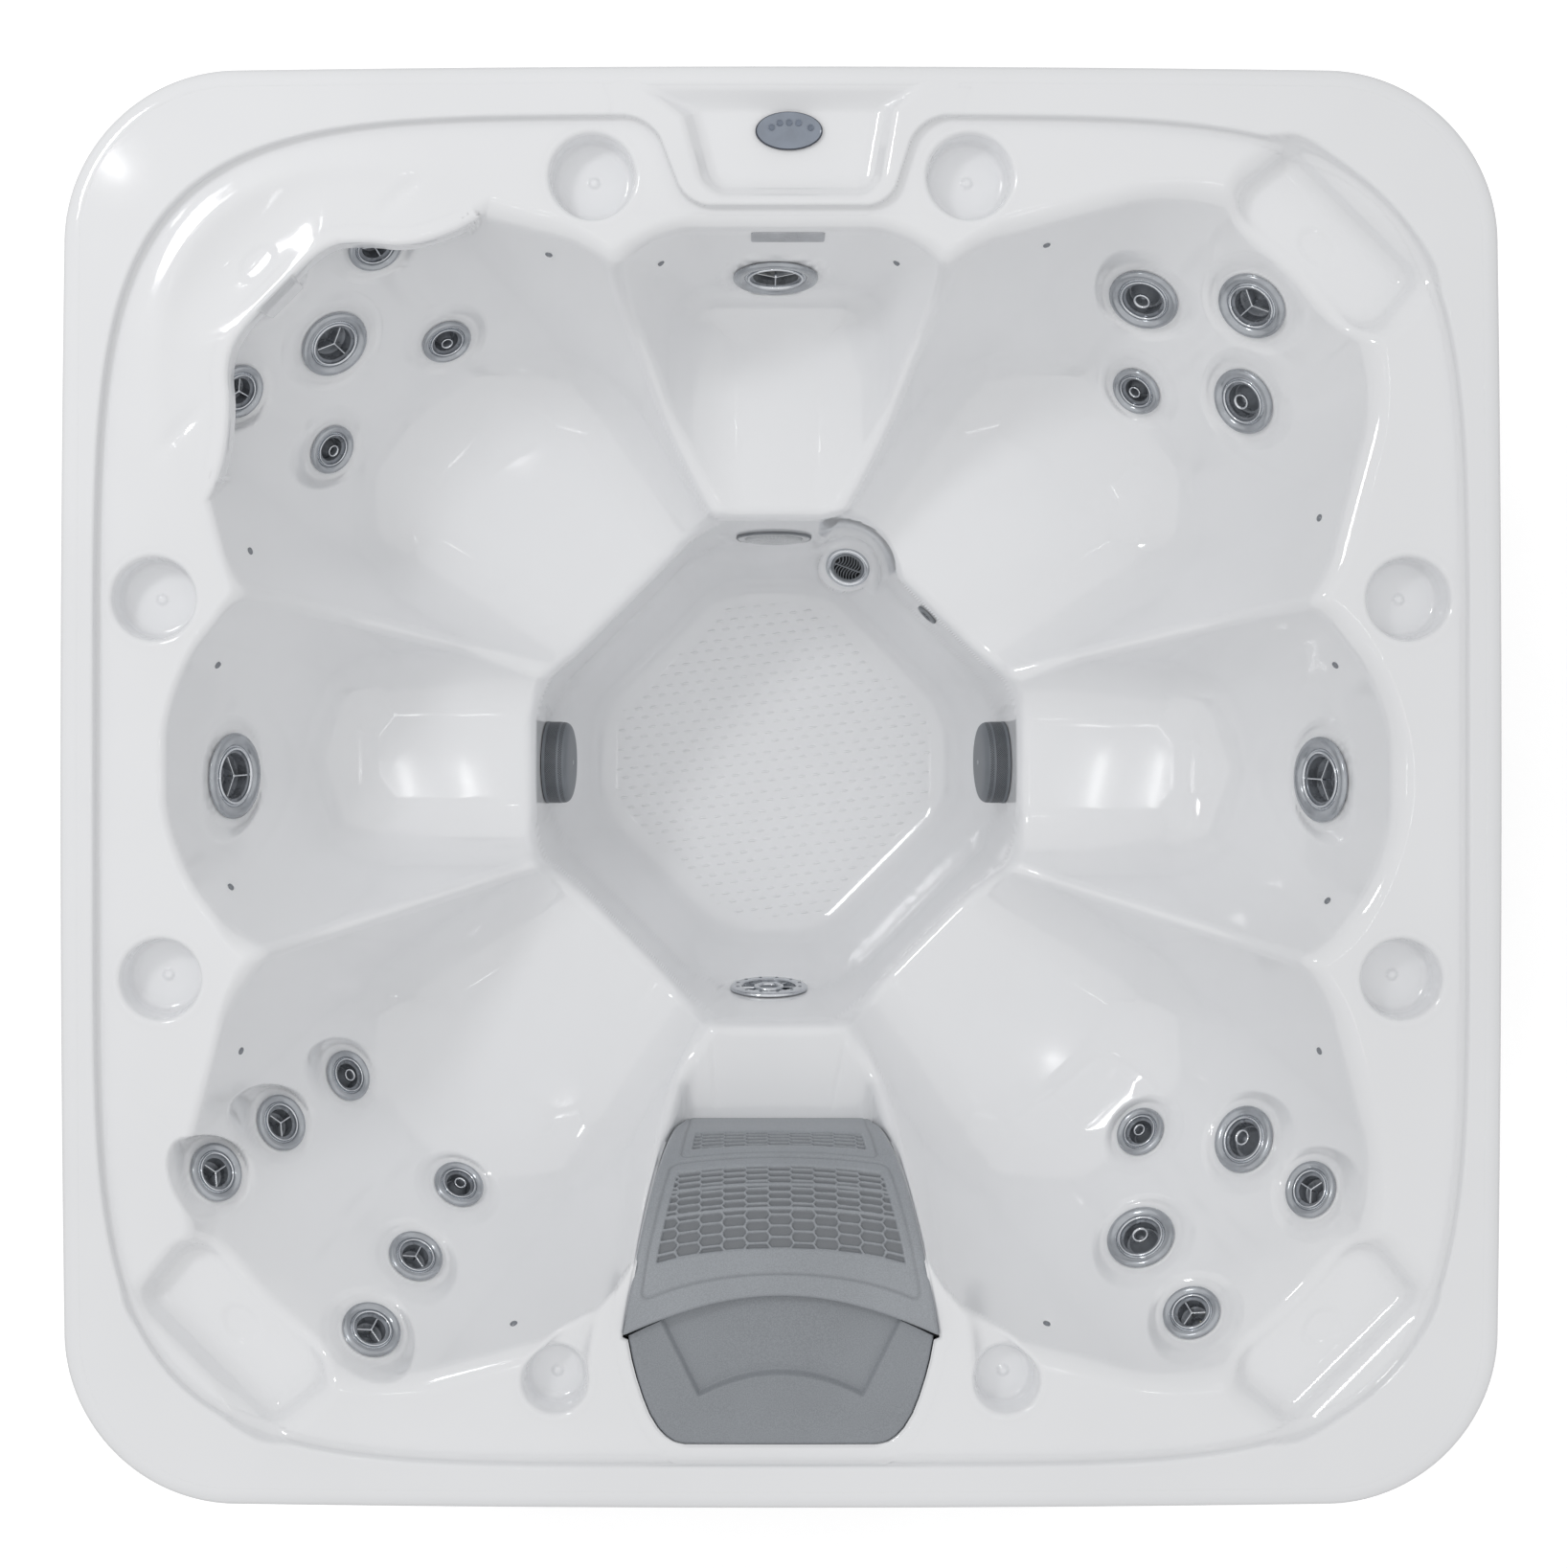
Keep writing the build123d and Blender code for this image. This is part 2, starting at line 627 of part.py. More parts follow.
with BuildPart() as filter_cartridge:
    for low, high, radius in ((286, 300, 80), (300, 728, 74), (728, 742, 80)):
        with BuildSketch(Plane.XY.offset(low)):
            with Locations(filter_centre):
                Circle(radius)
        extrude(amount=high - low)
    with BuildSketch(Plane.XY.offset(286)):
        with Locations(filter_centre):
            Circle(20.08)
    extrude(amount=30, mode=Mode.SUBTRACT)
    with BuildSketch(Plane.XY.offset(742)):
        with Locations(filter_centre):
            Rectangle(90, 12)
    extrude(amount=18)
filter_cartridge.part.label = "filter_cartridge"
export_step(filter_cartridge.part, "parts/filter_cartridge.step")

cowl_outer = cowl_block()
cowl_inner = cowl_block(cowl_skin, rear_reach=70)
slot_pitch = 15
slot_levels = [644 + slot_pitch * step for step in range(3)] + [704 + slot_pitch * step for step in range(10)]
with BuildPart() as filter_grille:
    add(cowl_outer)
    add(cowl_inner, mode=Mode.SUBTRACT)
    for level in slot_levels:
        rise = (level - cowl_top + cowl_drop) / cowl_drop
        reach = (cowl_front - cowl_crown_start) * sqrt(1 - rise**2)
        with Locations((0, cowl_crown_start + reach, level)):
            Box(220, 34, 8, mode=Mode.SUBTRACT)
    with Locations((-155, weir_axis[0], weir_axis[1]), (155, weir_axis[0], weir_axis[1])):
        Box(32, 18, 18)
    for side in (-1, 1):
        with Locations((side * lid_post[0], lid_axis[0], lid_axis[1] + 7)):
            Box(lid_post[1], 14, 49, align=(Align.CENTER, Align.CENTER, Align.MAX))
        with Locations((side * (lid_post[0] + 1.25), lid_axis[0] + 11, lid_axis[1] - 36)):
            Box(lid_post[1] + 2.5, 36, 12)
    with BuildSketch(Plane.YZ.offset(-260)):
        with Locations(lid_axis):
            Circle(4.08)
        with Locations(weir_axis):
            Circle(3.07)
    extrude(amount=520, mode=Mode.SUBTRACT)
filter_grille.part.label = "filter_grille"
export_step(filter_grille.part, "parts/filter_grille.step")

with BuildPart() as weir_flap:
    with Locations((0, weir_axis[0], weir_axis[1] + 42)):
        Box(264, 5, 86)
    with BuildSketch(Plane.YZ.offset(-150)):
        with Locations(weir_axis):
            Circle(3)
    extrude(amount=300)
weir_flap.part.label = "weir_flap"
export_step(weir_flap.part, "parts/weir_flap.step")

with BuildPart() as filter_lid:
    with BuildSketch(Plane.XY.offset(874)):
        add(filter_lid_outline())
    extrude(amount=5)
    with BuildSketch(Plane.XY.offset(866)):
        add(filter_lid_outline(shrink=20))
        add(filter_lid_outline(shrink=24), mode=Mode.SUBTRACT)
    extrude(amount=8)
    with Locations((-194, lid_axis[0], lid_axis[1] + 3), (194, lid_axis[0], lid_axis[1] + 3)):
        Box(10, 18, 18)
    for start in (-214, 190):
        with BuildSketch(Plane.YZ.offset(start)):
            with Locations(lid_axis):
                Circle(4)
        extrude(amount=24)
filter_lid.part.label = "filter_lid"
export_step(filter_lid.part, "parts/filter_lid.step")

# Cabinet: base pan, frame timbers, panels, corner posts and screws
with BuildPart() as base_pan:
    with BuildSketch():
        RectangleRounded(2 * panel_outer + 8, 2 * panel_outer + 8, cabinet_corner + 4)
    extrude(amount=pan_thickness)
    with BuildSketch(Plane.XY.offset(pan_thickness)):
        RectangleRounded(2 * panel_outer - 32, 2 * panel_outer - 32, cabinet_corner - 16)
        RectangleRounded(2 * panel_outer - 44, 2 * panel_outer - 44, cabinet_corner - 22, mode=Mode.SUBTRACT)
    extrude(amount=20)
base_pan.part.label = "base_pan"
export_step(base_pan.part, "parts/base_pan.step")

rail_centre = panel_outer - panel_thickness - timber / 2 - 12
with BuildPart() as frame:
    with BuildSketch(Plane.XY.offset(pan_thickness)):
        with GridLocations(2 * 600, 2 * rail_centre, 2, 2):
            Rectangle(timber, timber)
        with GridLocations(2 * rail_centre, 2 * 600, 2, 2):
            Rectangle(timber, timber)
    extrude(amount=deck_height - deck_thickness - pan_thickness)
    with BuildSketch(Plane.XY.offset(760)):
        with GridLocations(2 * 445, 2 * rail_centre, 2, 2):
            Rectangle(270, timber)
        with GridLocations(2 * rail_centre, 0, 2, 1):
            Rectangle(timber, 1160)
    extrude(amount=timber)
    with BuildSketch(Plane.XY.offset(pan_thickness)):
        with GridLocations(0, 200, 1, 3):
            Rectangle(560, 60)
    extrude(amount=footwell_floor - shell_wall - pan_thickness)
frame.part.label = "frame"
export_step(frame.part, "parts/frame.step")

panel_low = pan_thickness + 2
panel_half = panel_outer - cabinet_corner - 2
with BuildPart() as side_panels:
    with BuildSketch(Plane.XY.offset(panel_low)):
        with GridLocations(2 * panel_outer - panel_thickness, 0, 2, 1):
            Rectangle(panel_thickness, 2 * panel_half)
        with Locations((0, panel_outer - panel_thickness / 2)):
            Rectangle(2 * panel_half, panel_thickness)
    extrude(amount=panel_top - panel_low)
side_panels.part.label = "side_panels"
export_step(side_panels.part, "parts/side_panels.step")

drain_place = (560.0, 70.0)
drain_notch = (54.0, 97.0)
screw_columns = 4
screw_spacing = 500.0
screw_rows_apart = panel_top - panel_low - 60

# The access panel is one board. Its node holds it as three solids that meet at flat cuts beside
# the drain notch, so that the notch stays open in simulation.
with BuildPart() as access_panel:
    with BuildSketch(Plane.XY.offset(panel_low)):
        with Locations((0, -panel_outer + panel_thickness / 2)):
            Rectangle(2 * panel_half, panel_thickness)
    extrude(amount=panel_top - panel_low)
    with BuildSketch(Plane.XZ.offset(panel_outer + 2)):
        with Locations((drain_place[0], drain_notch[1] / 2)):
            Rectangle(*drain_notch)
        with Locations((0, (panel_low + panel_top) / 2)):
            with GridLocations(screw_spacing, screw_rows_apart, screw_columns, 2):
                Circle(2.6)
    extrude(amount=-30, mode=Mode.SUBTRACT)
    for edge in (-drain_notch[0] / 2, drain_notch[0] / 2):
        split(bisect_by=Plane.YZ.offset(drain_place[0] + edge), keep=Keep.BOTH)
access_panel.part.label = "access_panel"
export_step(access_panel.part, "parts/access_panel.step")

with BuildPart() as panel_screws:
    with BuildSketch(Plane.XZ.offset(panel_outer)):
        with Locations((0, (panel_low + panel_top) / 2)):
            with GridLocations(screw_spacing, screw_rows_apart, screw_columns, 2):
                Circle(6)
    extrude(amount=3)
    with BuildSketch(Plane.XZ.offset(panel_outer)):
        with Locations((0, (panel_low + panel_top) / 2)):
            with GridLocations(screw_spacing, screw_rows_apart, screw_columns, 2):
                Circle(2.4)
    extrude(amount=-panel_thickness + 0.5)
panel_screws.part.label = "panel_screws"
export_step(panel_screws.part, "parts/panel_screws.step")

post_centre = panel_outer - cabinet_corner
with BuildPart() as corner_posts:
    with BuildSketch(Plane.XY.offset(panel_low)):
        for turn in range(4):
            corner = Vector(post_centre, post_centre, 0).rotate(Axis.Z, 90 * turn)
            with BuildLine():
                CenterArc(corner, cabinet_corner, 90 * turn, 90)
                CenterArc(corner, cabinet_corner - panel_thickness, 90 * turn, 90)
                Line(corner + Vector(cabinet_corner, 0, 0).rotate(Axis.Z, 90 * turn),
                     corner + Vector(cabinet_corner - panel_thickness, 0, 0).rotate(Axis.Z, 90 * turn))
                Line(corner + Vector(0, cabinet_corner, 0).rotate(Axis.Z, 90 * turn),
                     corner + Vector(0, cabinet_corner - panel_thickness, 0).rotate(Axis.Z, 90 * turn))
            make_face()
    extrude(amount=panel_top - panel_low)
corner_posts.part.label = "corner_posts"
export_step(corner_posts.part, "parts/corner_posts.step")

# Equipment: pump, heater, control box, pipes and drain
pump_y = -790.0
pump_z = 112.0
motor_back = -640.0
motor_length = 270.0
volute_start = motor_back + motor_length
volute_width = 84.0
outlet_x = -328.0
with BuildPart() as pump_motor:
    with BuildSketch(Plane.YZ.offset(motor_back)):
        with Locations((pump_y, pump_z)):
            Circle(80)
    extrude(amount=motor_length)
    with BuildSketch(Plane.XY.offset(pan_thickness)):
        with Locations((-500, pump_y)):
            Rectangle(160, 110)
    extrude(amount=60)
    with BuildSketch(Plane.YZ.offset(volute_start - 30)):
        with Locations((pump_y, pump_z)):
            Circle(8.06)
    extrude(amount=30, mode=Mode.SUBTRACT)
pump_motor.part.label = "pump_motor"
export_step(pump_motor.part, "parts/pump_motor.step")

with BuildPart() as pump_wet_end:
    with BuildSketch(Plane.YZ.offset(volute_start)):
        with Locations((pump_y, pump_z)):
            Circle(92)
    extrude(amount=volute_width)
    with BuildSketch(Plane.YZ.offset(volute_start + 6)):
        with Locations((pump_y, pump_z)):
            Circle(78)
    extrude(amount=volute_width - 12, mode=Mode.SUBTRACT)
    with BuildSketch(Plane.YZ.offset(volute_start - 2)):
        with Locations((pump_y, pump_z)):
            Circle(12)
    extrude(amount=10, mode=Mode.SUBTRACT)
    with BuildSketch(Plane.YZ.offset(volute_start + volute_width - 8)):
        with Locations((pump_y, pump_z)):
            Circle(21)
    extrude(amount=20, mode=Mode.SUBTRACT)
    with BuildSketch(Plane.XY.offset(pump_z + 84)):
        with Locations((outlet_x, pump_y)):
            Circle(24)
    extrude(amount=22)
    with BuildSketch(Plane.XY.offset(pump_z + 60)):
        with Locations((outlet_x, pump_y)):
            Circle(20)
    extrude(amount=60, mode=Mode.SUBTRACT)
pump_wet_end.part.label = "pump_wet_end"
export_step(pump_wet_end.part, "parts/pump_wet_end.step")

with BuildPart() as impeller:
    with BuildSketch(Plane.YZ.offset(volute_start + 14)):
        with Locations((pump_y, pump_z)):
            Circle(66)
    extrude(amount=6)
    with BuildSketch(Plane.YZ.offset(volute_start + 20)):
        with Locations((pump_y, pump_z)):
            Circle(14)
            with PolarLocations(38, 6):
                Rectangle(52, 5)
    extrude(amount=24)
    with BuildSketch(Plane.YZ.offset(volute_start - 28)):
        with Locations((pump_y, pump_z)):
            Circle(8)
    extrude(amount=42)
impeller.part.label = "impeller"
export_step(impeller.part, "parts/impeller.step")

heater_y = -640.0
heater_z = 130.0
heater_start = 320.0
heater_length = 340.0
with BuildPart() as heater:
    with BuildSketch(Plane.YZ.offset(heater_start)):
        with Locations((heater_y, heater_z)):
            Circle(34)
    extrude(amount=heater_length)
    with BuildSketch(Plane.YZ.offset(heater_start + 30)):
        with Locations((heater_y, heater_z)):
            Circle(42)
    extrude(amount=heater_length - 60)
    with BuildSketch(Plane.XY.offset(pan_thickness)):
        with Locations((heater_start + 80, heater_y), (heater_start + 260, heater_y)):
            Rectangle(30, 60)
    extrude(amount=heater_z - pan_thickness - 20)
heater.part.label = "heater"
export_step(heater.part, "parts/heater.step")

with BuildPart() as control_box:
    with Locations((480, -840, pan_thickness)):
        Box(360, 120, 240, align=(Align.CENTER, Align.CENTER, Align.MIN))
    fillet(control_box.edges().filter_by(Axis.Z), 12)
control_box.part.label = "control_box"
export_step(control_box.part, "parts/control_box.step")

pipe_radius = 22.0
pipe_wall = 2.5
pipe_bend = 60.0
suction_start = suction_left.plane().offset(-76).origin
suction_route = (
    (suction_start.X, suction_start.Y, suction_start.Z), (-600, 12, 322), (-600, 12, 110),
    (-600, -520, 110), (-180, -520, 110), (-180, pump_y, pump_z),
    (volute_start + volute_width + 2, pump_y, pump_z),
)
pressure_route = (
    (outlet_x, pump_y, pump_z + 107), (outlet_x, pump_y, 330), (outlet_x, heater_y, 330),
    (220, heater_y, 330), (220, heater_y, heater_z), (heater_start - 2, heater_y, heater_z),
)


def pipe(route, bend):
    """A round pipe along straight runs joined by bends of one radius."""
    with BuildPart() as tube:
        with BuildLine() as path:
            FilletPolyline(*route, radius=bend)
        start = path.line ^ 0
        with BuildSketch(start) as section:
            Circle(pipe_radius)
            Circle(pipe_radius - pipe_wall, mode=Mode.SUBTRACT)
        sweep()
    return tube.part


suction_pipe = pipe(suction_route, pipe_bend)
pressure_pipe = pipe(pressure_route, pipe_bend)
with BuildPart() as pipework:
    add(suction_pipe)
    add(pressure_pipe)
pipework.part.label = "pipework"
export_step(pipework.part, "parts/pipework.step")

with BuildPart() as drain_valve:
    with BuildSketch(Plane.XZ.offset(940)):
        with Locations(drain_place):
            Circle(13)
            Circle(8, mode=Mode.SUBTRACT)
    extrude(amount=96)
    with Locations((drain_place[0], -950, drain_place[1])):
        Box(40, 30, 40)
    with BuildSketch(Plane.XY.offset(pan_thickness)):
        with Locations((drain_place[0], -950)):
            Rectangle(20, 24)
    extrude(amount=40)
drain_valve.part.label = "drain_valve"
export_step(drain_valve.part, "parts/drain_valve.step")

with BuildPart() as drain_cap:
    with BuildSketch(Plane.XZ.offset(1024)):
        with Locations(drain_place):
            RegularPolygon(18, 8)
            Circle(13.08, mode=Mode.SUBTRACT)
    extrude(amount=12.5)
    with BuildSketch(Plane.XZ.offset(1036.5)):
        with Locations(drain_place):
            RegularPolygon(18, 8)
    extrude(amount=4)
drain_cap.part.label = "drain_cap"
export_step(drain_cap.part, "parts/drain_cap.step")
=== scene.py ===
"""Dressed model of a square acrylic hot tub: moulded shell, jets, filter cover and cabinet."""
import json
import logging
import math
from collections.abc import Sequence
from dataclasses import dataclass, field
from enum import Enum

import bpy
import numpy as np
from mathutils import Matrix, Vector

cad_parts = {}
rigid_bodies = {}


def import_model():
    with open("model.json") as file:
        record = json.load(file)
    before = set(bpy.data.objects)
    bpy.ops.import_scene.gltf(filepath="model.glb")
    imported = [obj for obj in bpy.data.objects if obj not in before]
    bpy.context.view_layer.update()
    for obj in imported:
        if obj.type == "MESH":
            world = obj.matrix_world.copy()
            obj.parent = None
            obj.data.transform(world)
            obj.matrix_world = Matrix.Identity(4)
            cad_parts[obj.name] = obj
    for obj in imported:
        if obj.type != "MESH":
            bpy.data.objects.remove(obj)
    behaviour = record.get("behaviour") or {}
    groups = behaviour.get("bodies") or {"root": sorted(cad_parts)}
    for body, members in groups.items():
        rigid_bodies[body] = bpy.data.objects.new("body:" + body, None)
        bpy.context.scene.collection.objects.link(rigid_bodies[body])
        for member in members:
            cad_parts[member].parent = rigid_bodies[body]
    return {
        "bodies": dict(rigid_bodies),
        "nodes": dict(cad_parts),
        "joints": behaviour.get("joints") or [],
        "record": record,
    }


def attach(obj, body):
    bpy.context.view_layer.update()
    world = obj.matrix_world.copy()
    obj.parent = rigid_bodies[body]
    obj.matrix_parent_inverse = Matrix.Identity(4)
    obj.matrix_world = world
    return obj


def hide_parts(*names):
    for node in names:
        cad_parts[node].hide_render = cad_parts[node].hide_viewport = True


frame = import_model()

log = logging.getLogger("hot_tub")
MM = 0.001
ROOT = "tub"
Array = np.ndarray
Material, Node, NodeTree, Socket = (bpy.types.Material, bpy.types.Node, bpy.types.NodeTree,
                                    bpy.types.NodeSocket)


# Distances and rounding
def rounded_max(a: Array, b: Array, radius: float) -> Array:
    """Join two hollows' walls with a cove.

    The larger of two distances; where both are nearer than the radius to zero, a quarter circle.

    Args:
        a: First signed distance, negative in air.
        b: Second signed distance.
        radius: Radius of the cove in millimetres.

    Returns:
        The signed distance of the part that lies in both.
    """
    near_a, near_b = np.maximum(radius + a, 0), np.maximum(radius + b, 0)
    return np.minimum(-radius, np.maximum(a, b)) + np.sqrt(near_a * near_a + near_b * near_b)


def rounded_min(a: Array, b: Array, radius: float | Array) -> Array:
    """Join two hollows with a rounded ridge between them.

    The smaller of two distances; where both are nearer than the radius to zero, a quarter circle.

    Args:
        a: First signed distance, negative in air.
        b: Second signed distance.
        radius: Radius of the ridge in millimetres, one value or one for each point.

    Returns:
        The signed distance of the part that lies in either.
    """
    near_a, near_b = np.maximum(radius - a, 0), np.maximum(radius - b, 0)
    return np.maximum(radius, np.minimum(a, b)) - np.sqrt(near_a * near_a + near_b * near_b)


def ease(value: Array, low: float, high: float) -> Array:
    """Smooth step from 0 at low to 1 at high: three t squared less two t cubed."""
    t = np.clip((value - low) / (high - low), 0, 1)
    return t * t * (3 - 2 * t)


def soften(points: Array, rounds: int = 2) -> Array:
    """Round the corners of an open line by cutting each at a quarter and three quarters of a run.

    Args:
        points: Corner points, one row each.
        rounds: How many times the corners are cut.

    Returns:
        The softened line with its first and last points kept.
    """
    for _ in range(rounds):
        start, end = points[:-1], points[1:]
        cut = np.stack([0.75 * start + 0.25 * end, 0.25 * start + 0.75 * end], 1)
        points = np.concatenate([points[:1], cut.reshape(-1, points.shape[1]), points[-1:]])
    return points


def line_distance(x: Array, y: Array, line: Array) -> tuple[Array, Array]:
    """Distance from each point to an open line, and how far along the line its foot lies.

    Args:
        x: Plan positions.
        y: Plan positions.
        line: Corner points of the line, one row each.

    Returns:
        The distance, and the foot's share of the line's length from 0 to 1.
    """
    nearest = np.full(x.shape, 1e6, x.dtype)
    share = np.zeros(x.shape, x.dtype)
    runs = np.hypot(*np.diff(line, axis=0).T)
    total, passed = runs.sum(), 0.0
    for start, end, run in zip(line[:-1], line[1:], runs):
        along_x, along_y = (end - start) / run
        foot = np.clip((x - start[0]) * along_x + (y - start[1]) * along_y, 0, run)
        away = np.hypot(x - start[0] - foot * along_x, y - start[1] - foot * along_y)
        closer = away < nearest
        nearest = np.where(closer, away, nearest)
        share = np.where(closer, (passed + foot) / total, share)
        passed += run
    return nearest, share


def inside_line(x: Array, y: Array, line: Array) -> Array:
    """Whether each point lies inside a closed line, by counting the edges that it crosses."""
    crossed = np.zeros(x.shape, bool)
    for (ax, ay), (bx, by) in zip(line, np.roll(line, -1, axis=0)):
        if ay == by:
            continue
        spans = (ay > y) != (by > y)
        crossed ^= spans & (x < ax + (y - ay) * (bx - ax) / (by - ay))
    return crossed


def side_of(x: Array, y: Array, point: tuple[float, float], normal: tuple[float, float]) -> Array:
    """Distance of plan points from a line through a point, positive along its normal."""
    return (x - point[0]) * normal[0] + (y - point[1]) * normal[1]


def side_normals(line: Array) -> Array:
    """The unit normal to the right of an open line at each of its points."""
    along = np.gradient(line, axis=0)
    along /= np.linalg.norm(along, axis=1, keepdims=True)
    return np.stack([along[:, 1], -along[:, 0]], -1)


def centres(values: Array) -> Array:
    """The middle of each cell of a grid, halfway between two of its corners."""
    return (values[:-1, :-1] + values[1:, 1:]) / 2


# Meshes
@dataclass
class Sheet:
    """A surface as rows and columns of points in millimetres."""

    points: Array
    normals: Array | None = None
    keep: Array | None = None
    flipped: bool = False
    dress: int = 0
    # Painted shade for each point, which the cowl's finish turns into a darker colour
    shade: Array | None = None


@dataclass(frozen=True)
class Placing:
    """A place and a turn: an origin and three axes as the columns of a matrix."""

    origin: Array
    axes: Array

    def put(self, points: Array) -> Array:
        """Points of this place's own frame, in the tub's frame."""
        return self.origin + points @ self.axes.T

    def carry(self, *sheets: Sheet) -> list[Sheet]:
        """The sheets, moved from this place's own frame to the tub's."""
        for sheet in sheets:
            sheet.points = self.put(sheet.points)
        return list(sheets)


def shift(x: float, y: float, z: float = 0.0) -> Placing:
    """A place without a turn."""
    return Placing(np.array([x, y, z]), np.eye(3))


def spin(degrees: float) -> Placing:
    """A turn about the upright axis."""
    cos, sin = math.cos(math.radians(degrees)), math.sin(math.radians(degrees))
    return Placing(np.zeros(3), np.array([[cos, -sin, 0], [sin, cos, 0], [0, 0, 1]]))


def turned(profile: Sequence[tuple[float, float]], segments: int = 64, rounds: int = 0,
           dress: int = 0) -> Sheet:
    """A turned surface: radius times cosine, radius times sine, and height along the axis.

    Args:
        profile: Radius and height of each corner, from the inside of the front outwards or back.
        segments: Columns round the axis.
        rounds: How often the profile's corners are cut.
        dress: Index of the sheet's finish in its piece.

    Returns:
        The surface, with its last column over its first.
    """
    line = soften(np.array(profile, float), rounds)
    angle = np.linspace(0, 2 * np.pi, segments + 1)
    radius, height = line[:, :1], line[:, 1:]
    points = np.stack([radius * np.cos(angle), radius * np.sin(angle), height + 0 * angle], -1)
    return Sheet(points, dress=dress)


def box_sheet(low: Sequence[float], high: Sequence[float], soft: float = 0.6, dress: int = 0) -> Sheet:
    """A small bar with softened long edges: a rounded square section carried from low to high x.

    Args:
        low: Lowest corner.
        high: Highest corner.
        soft: Radius of the long edges.
        dress: Index of the sheet's finish in its piece.

    Returns:
        The bar, closed at both ends.
    """
    low, high = np.array(low, float), np.array(high, float)
    angle = np.linspace(0, 2 * np.pi, 17) + np.pi / 4
    circle = np.stack([np.cos(angle), np.sin(angle)], -1)
    half, middle = (high - low)[1:] / 2, (high + low)[1:] / 2
    corner = np.sign(circle) * (half - soft) + soft * circle
    rows = [np.column_stack([np.full(len(corner), x), middle + corner * scale])
            for x, scale in ((low[0], 0), (low[0], 1), (high[0], 1), (high[0], 0))]
    return Sheet(np.stack(rows), flipped=True, dress=dress)


def mesh_object(name: str, sheets: Sequence[Sheet], merge: bool = True) -> bpy.types.Object:
    """Put sheets into one mesh: each cell of a sheet's grid is one face.

    Points that meet are merged, so that seams and poles are closed, and a cell that loses a corner
    that way becomes a triangle. The cell's place in its sheet is kept as the UV map.

    Args:
        name: Name of the object.
        sheets: Surfaces that make up the piece.
        merge: Whether points that meet are merged.

    Returns:
        The new object, in the scene.
    """
    points, quads, normals, dress, corners, shades = [], [], [], [], [], []
    offset = 0
    for sheet in sheets:
        rows, columns = sheet.points.shape[:2]
        index = np.arange(rows * columns).reshape(rows, columns) + offset
        cell = np.stack([index[:-1, :-1], index[:-1, 1:], index[1:, 1:], index[1:, :-1]], -1)
        across = np.linalg.norm(np.diff(sheet.points, axis=1), axis=-1)
        down = np.linalg.norm(np.diff(sheet.points, axis=0), axis=-1)
        u = np.concatenate([[0], np.cumsum(across.max(0))]) * MM
        v = np.concatenate([[0], np.cumsum(down.max(1))]) * MM
        grid = np.stack(np.meshgrid(u, v), -1)
        place = np.stack([grid[:-1, :-1], grid[:-1, 1:], grid[1:, 1:], grid[1:, :-1]], 2)
        if sheet.flipped:
            cell, place = cell[..., ::-1], place[:, :, ::-1]
        chosen = np.ones(cell.shape[:2], bool) if sheet.keep is None else sheet.keep
        quads.append(cell[chosen])
        corners.append(place[chosen])
        dress.append(np.full(int(chosen.sum()), sheet.dress))
        points.append(sheet.points.reshape(-1, 3))
        if sheet.normals is not None:
            normals.append(sheet.normals.reshape(-1, 3))
        if sheet.shade is not None:
            shades.append(sheet.shade.ravel())
        offset += rows * columns
    points, quads = np.concatenate(points), np.concatenate(quads)
    corners, dress = np.concatenate(corners), np.concatenate(dress)
    normals = np.concatenate(normals) if len(normals) == len(sheets) else None
    shades = np.concatenate(shades) if len(shades) == len(sheets) else None
    if merge:
        _, first, inverse = np.unique(np.round(points, 3), axis=0, return_index=True,
                                      return_inverse=True)
        quads, points = inverse.reshape(-1)[quads], points[first]
        normals = None if normals is None else normals[first]
        shades = None if shades is None else shades[first]
    same = quads == np.roll(quads, -1, axis=1)
    lost = same.sum(1)
    pairs = [(quads[lost == 0], corners[lost == 0], dress[lost == 0])]
    for corner in range(4):
        rest = [step for step in range(4) if step != corner]
        pick = (lost == 1) & same[:, corner]
        pairs.append((quads[pick][:, rest], corners[pick][:, rest], dress[pick]))
    used, packed = np.unique(np.concatenate([face.ravel() for face, _, _ in pairs]),
                             return_inverse=True)
    sizes = np.concatenate([np.full(len(face), face.shape[1]) for face, _, _ in pairs])
    mesh = bpy.data.meshes.new(name)
    mesh.vertices.add(len(used))
    mesh.vertices.foreach_set("co", (points[used] * MM).astype(np.float32).ravel())
    mesh.loops.add(len(packed))
    mesh.loops.foreach_set("vertex_index", packed.astype(np.int32).ravel())
    mesh.polygons.add(len(sizes))
    mesh.polygons.foreach_set("loop_start", (np.cumsum(sizes) - sizes).astype(np.int32))
    mesh.polygons.foreach_set("material_index",
                              np.concatenate([kind for _, _, kind in pairs]).astype(np.int32))
    mesh.update(calc_edges=True)
    layer = mesh.uv_layers.new(name="surface")
    layer.data.foreach_set("uv", np.concatenate([uv.reshape(-1, 2) for _, uv, _ in pairs])
                           .astype(np.float32).ravel())
    # The shade attribute carries painted shade for the finish that reads it
    if shades is not None:
        shade = mesh.attributes.new("shade", "FLOAT", "POINT")
        shade.data.foreach_set("value", shades[used].astype(np.float32))
    mesh.polygons.foreach_set("use_smooth", np.ones(len(sizes), bool))
    if normals is not None:
        mesh.normals_split_custom_set_from_vertices(normals[used].astype(np.float32))
    mesh.validate()
    piece = bpy.data.objects.new(name, mesh)
    bpy.context.scene.collection.objects.link(piece)
    return piece


def crease(piece: bpy.types.Object, degrees: float = 38) -> None:
    """Mark the edges of a piece that turn by more than an angle as sharp."""
    piece.data.set_sharp_from_angle(angle=math.radians(degrees))


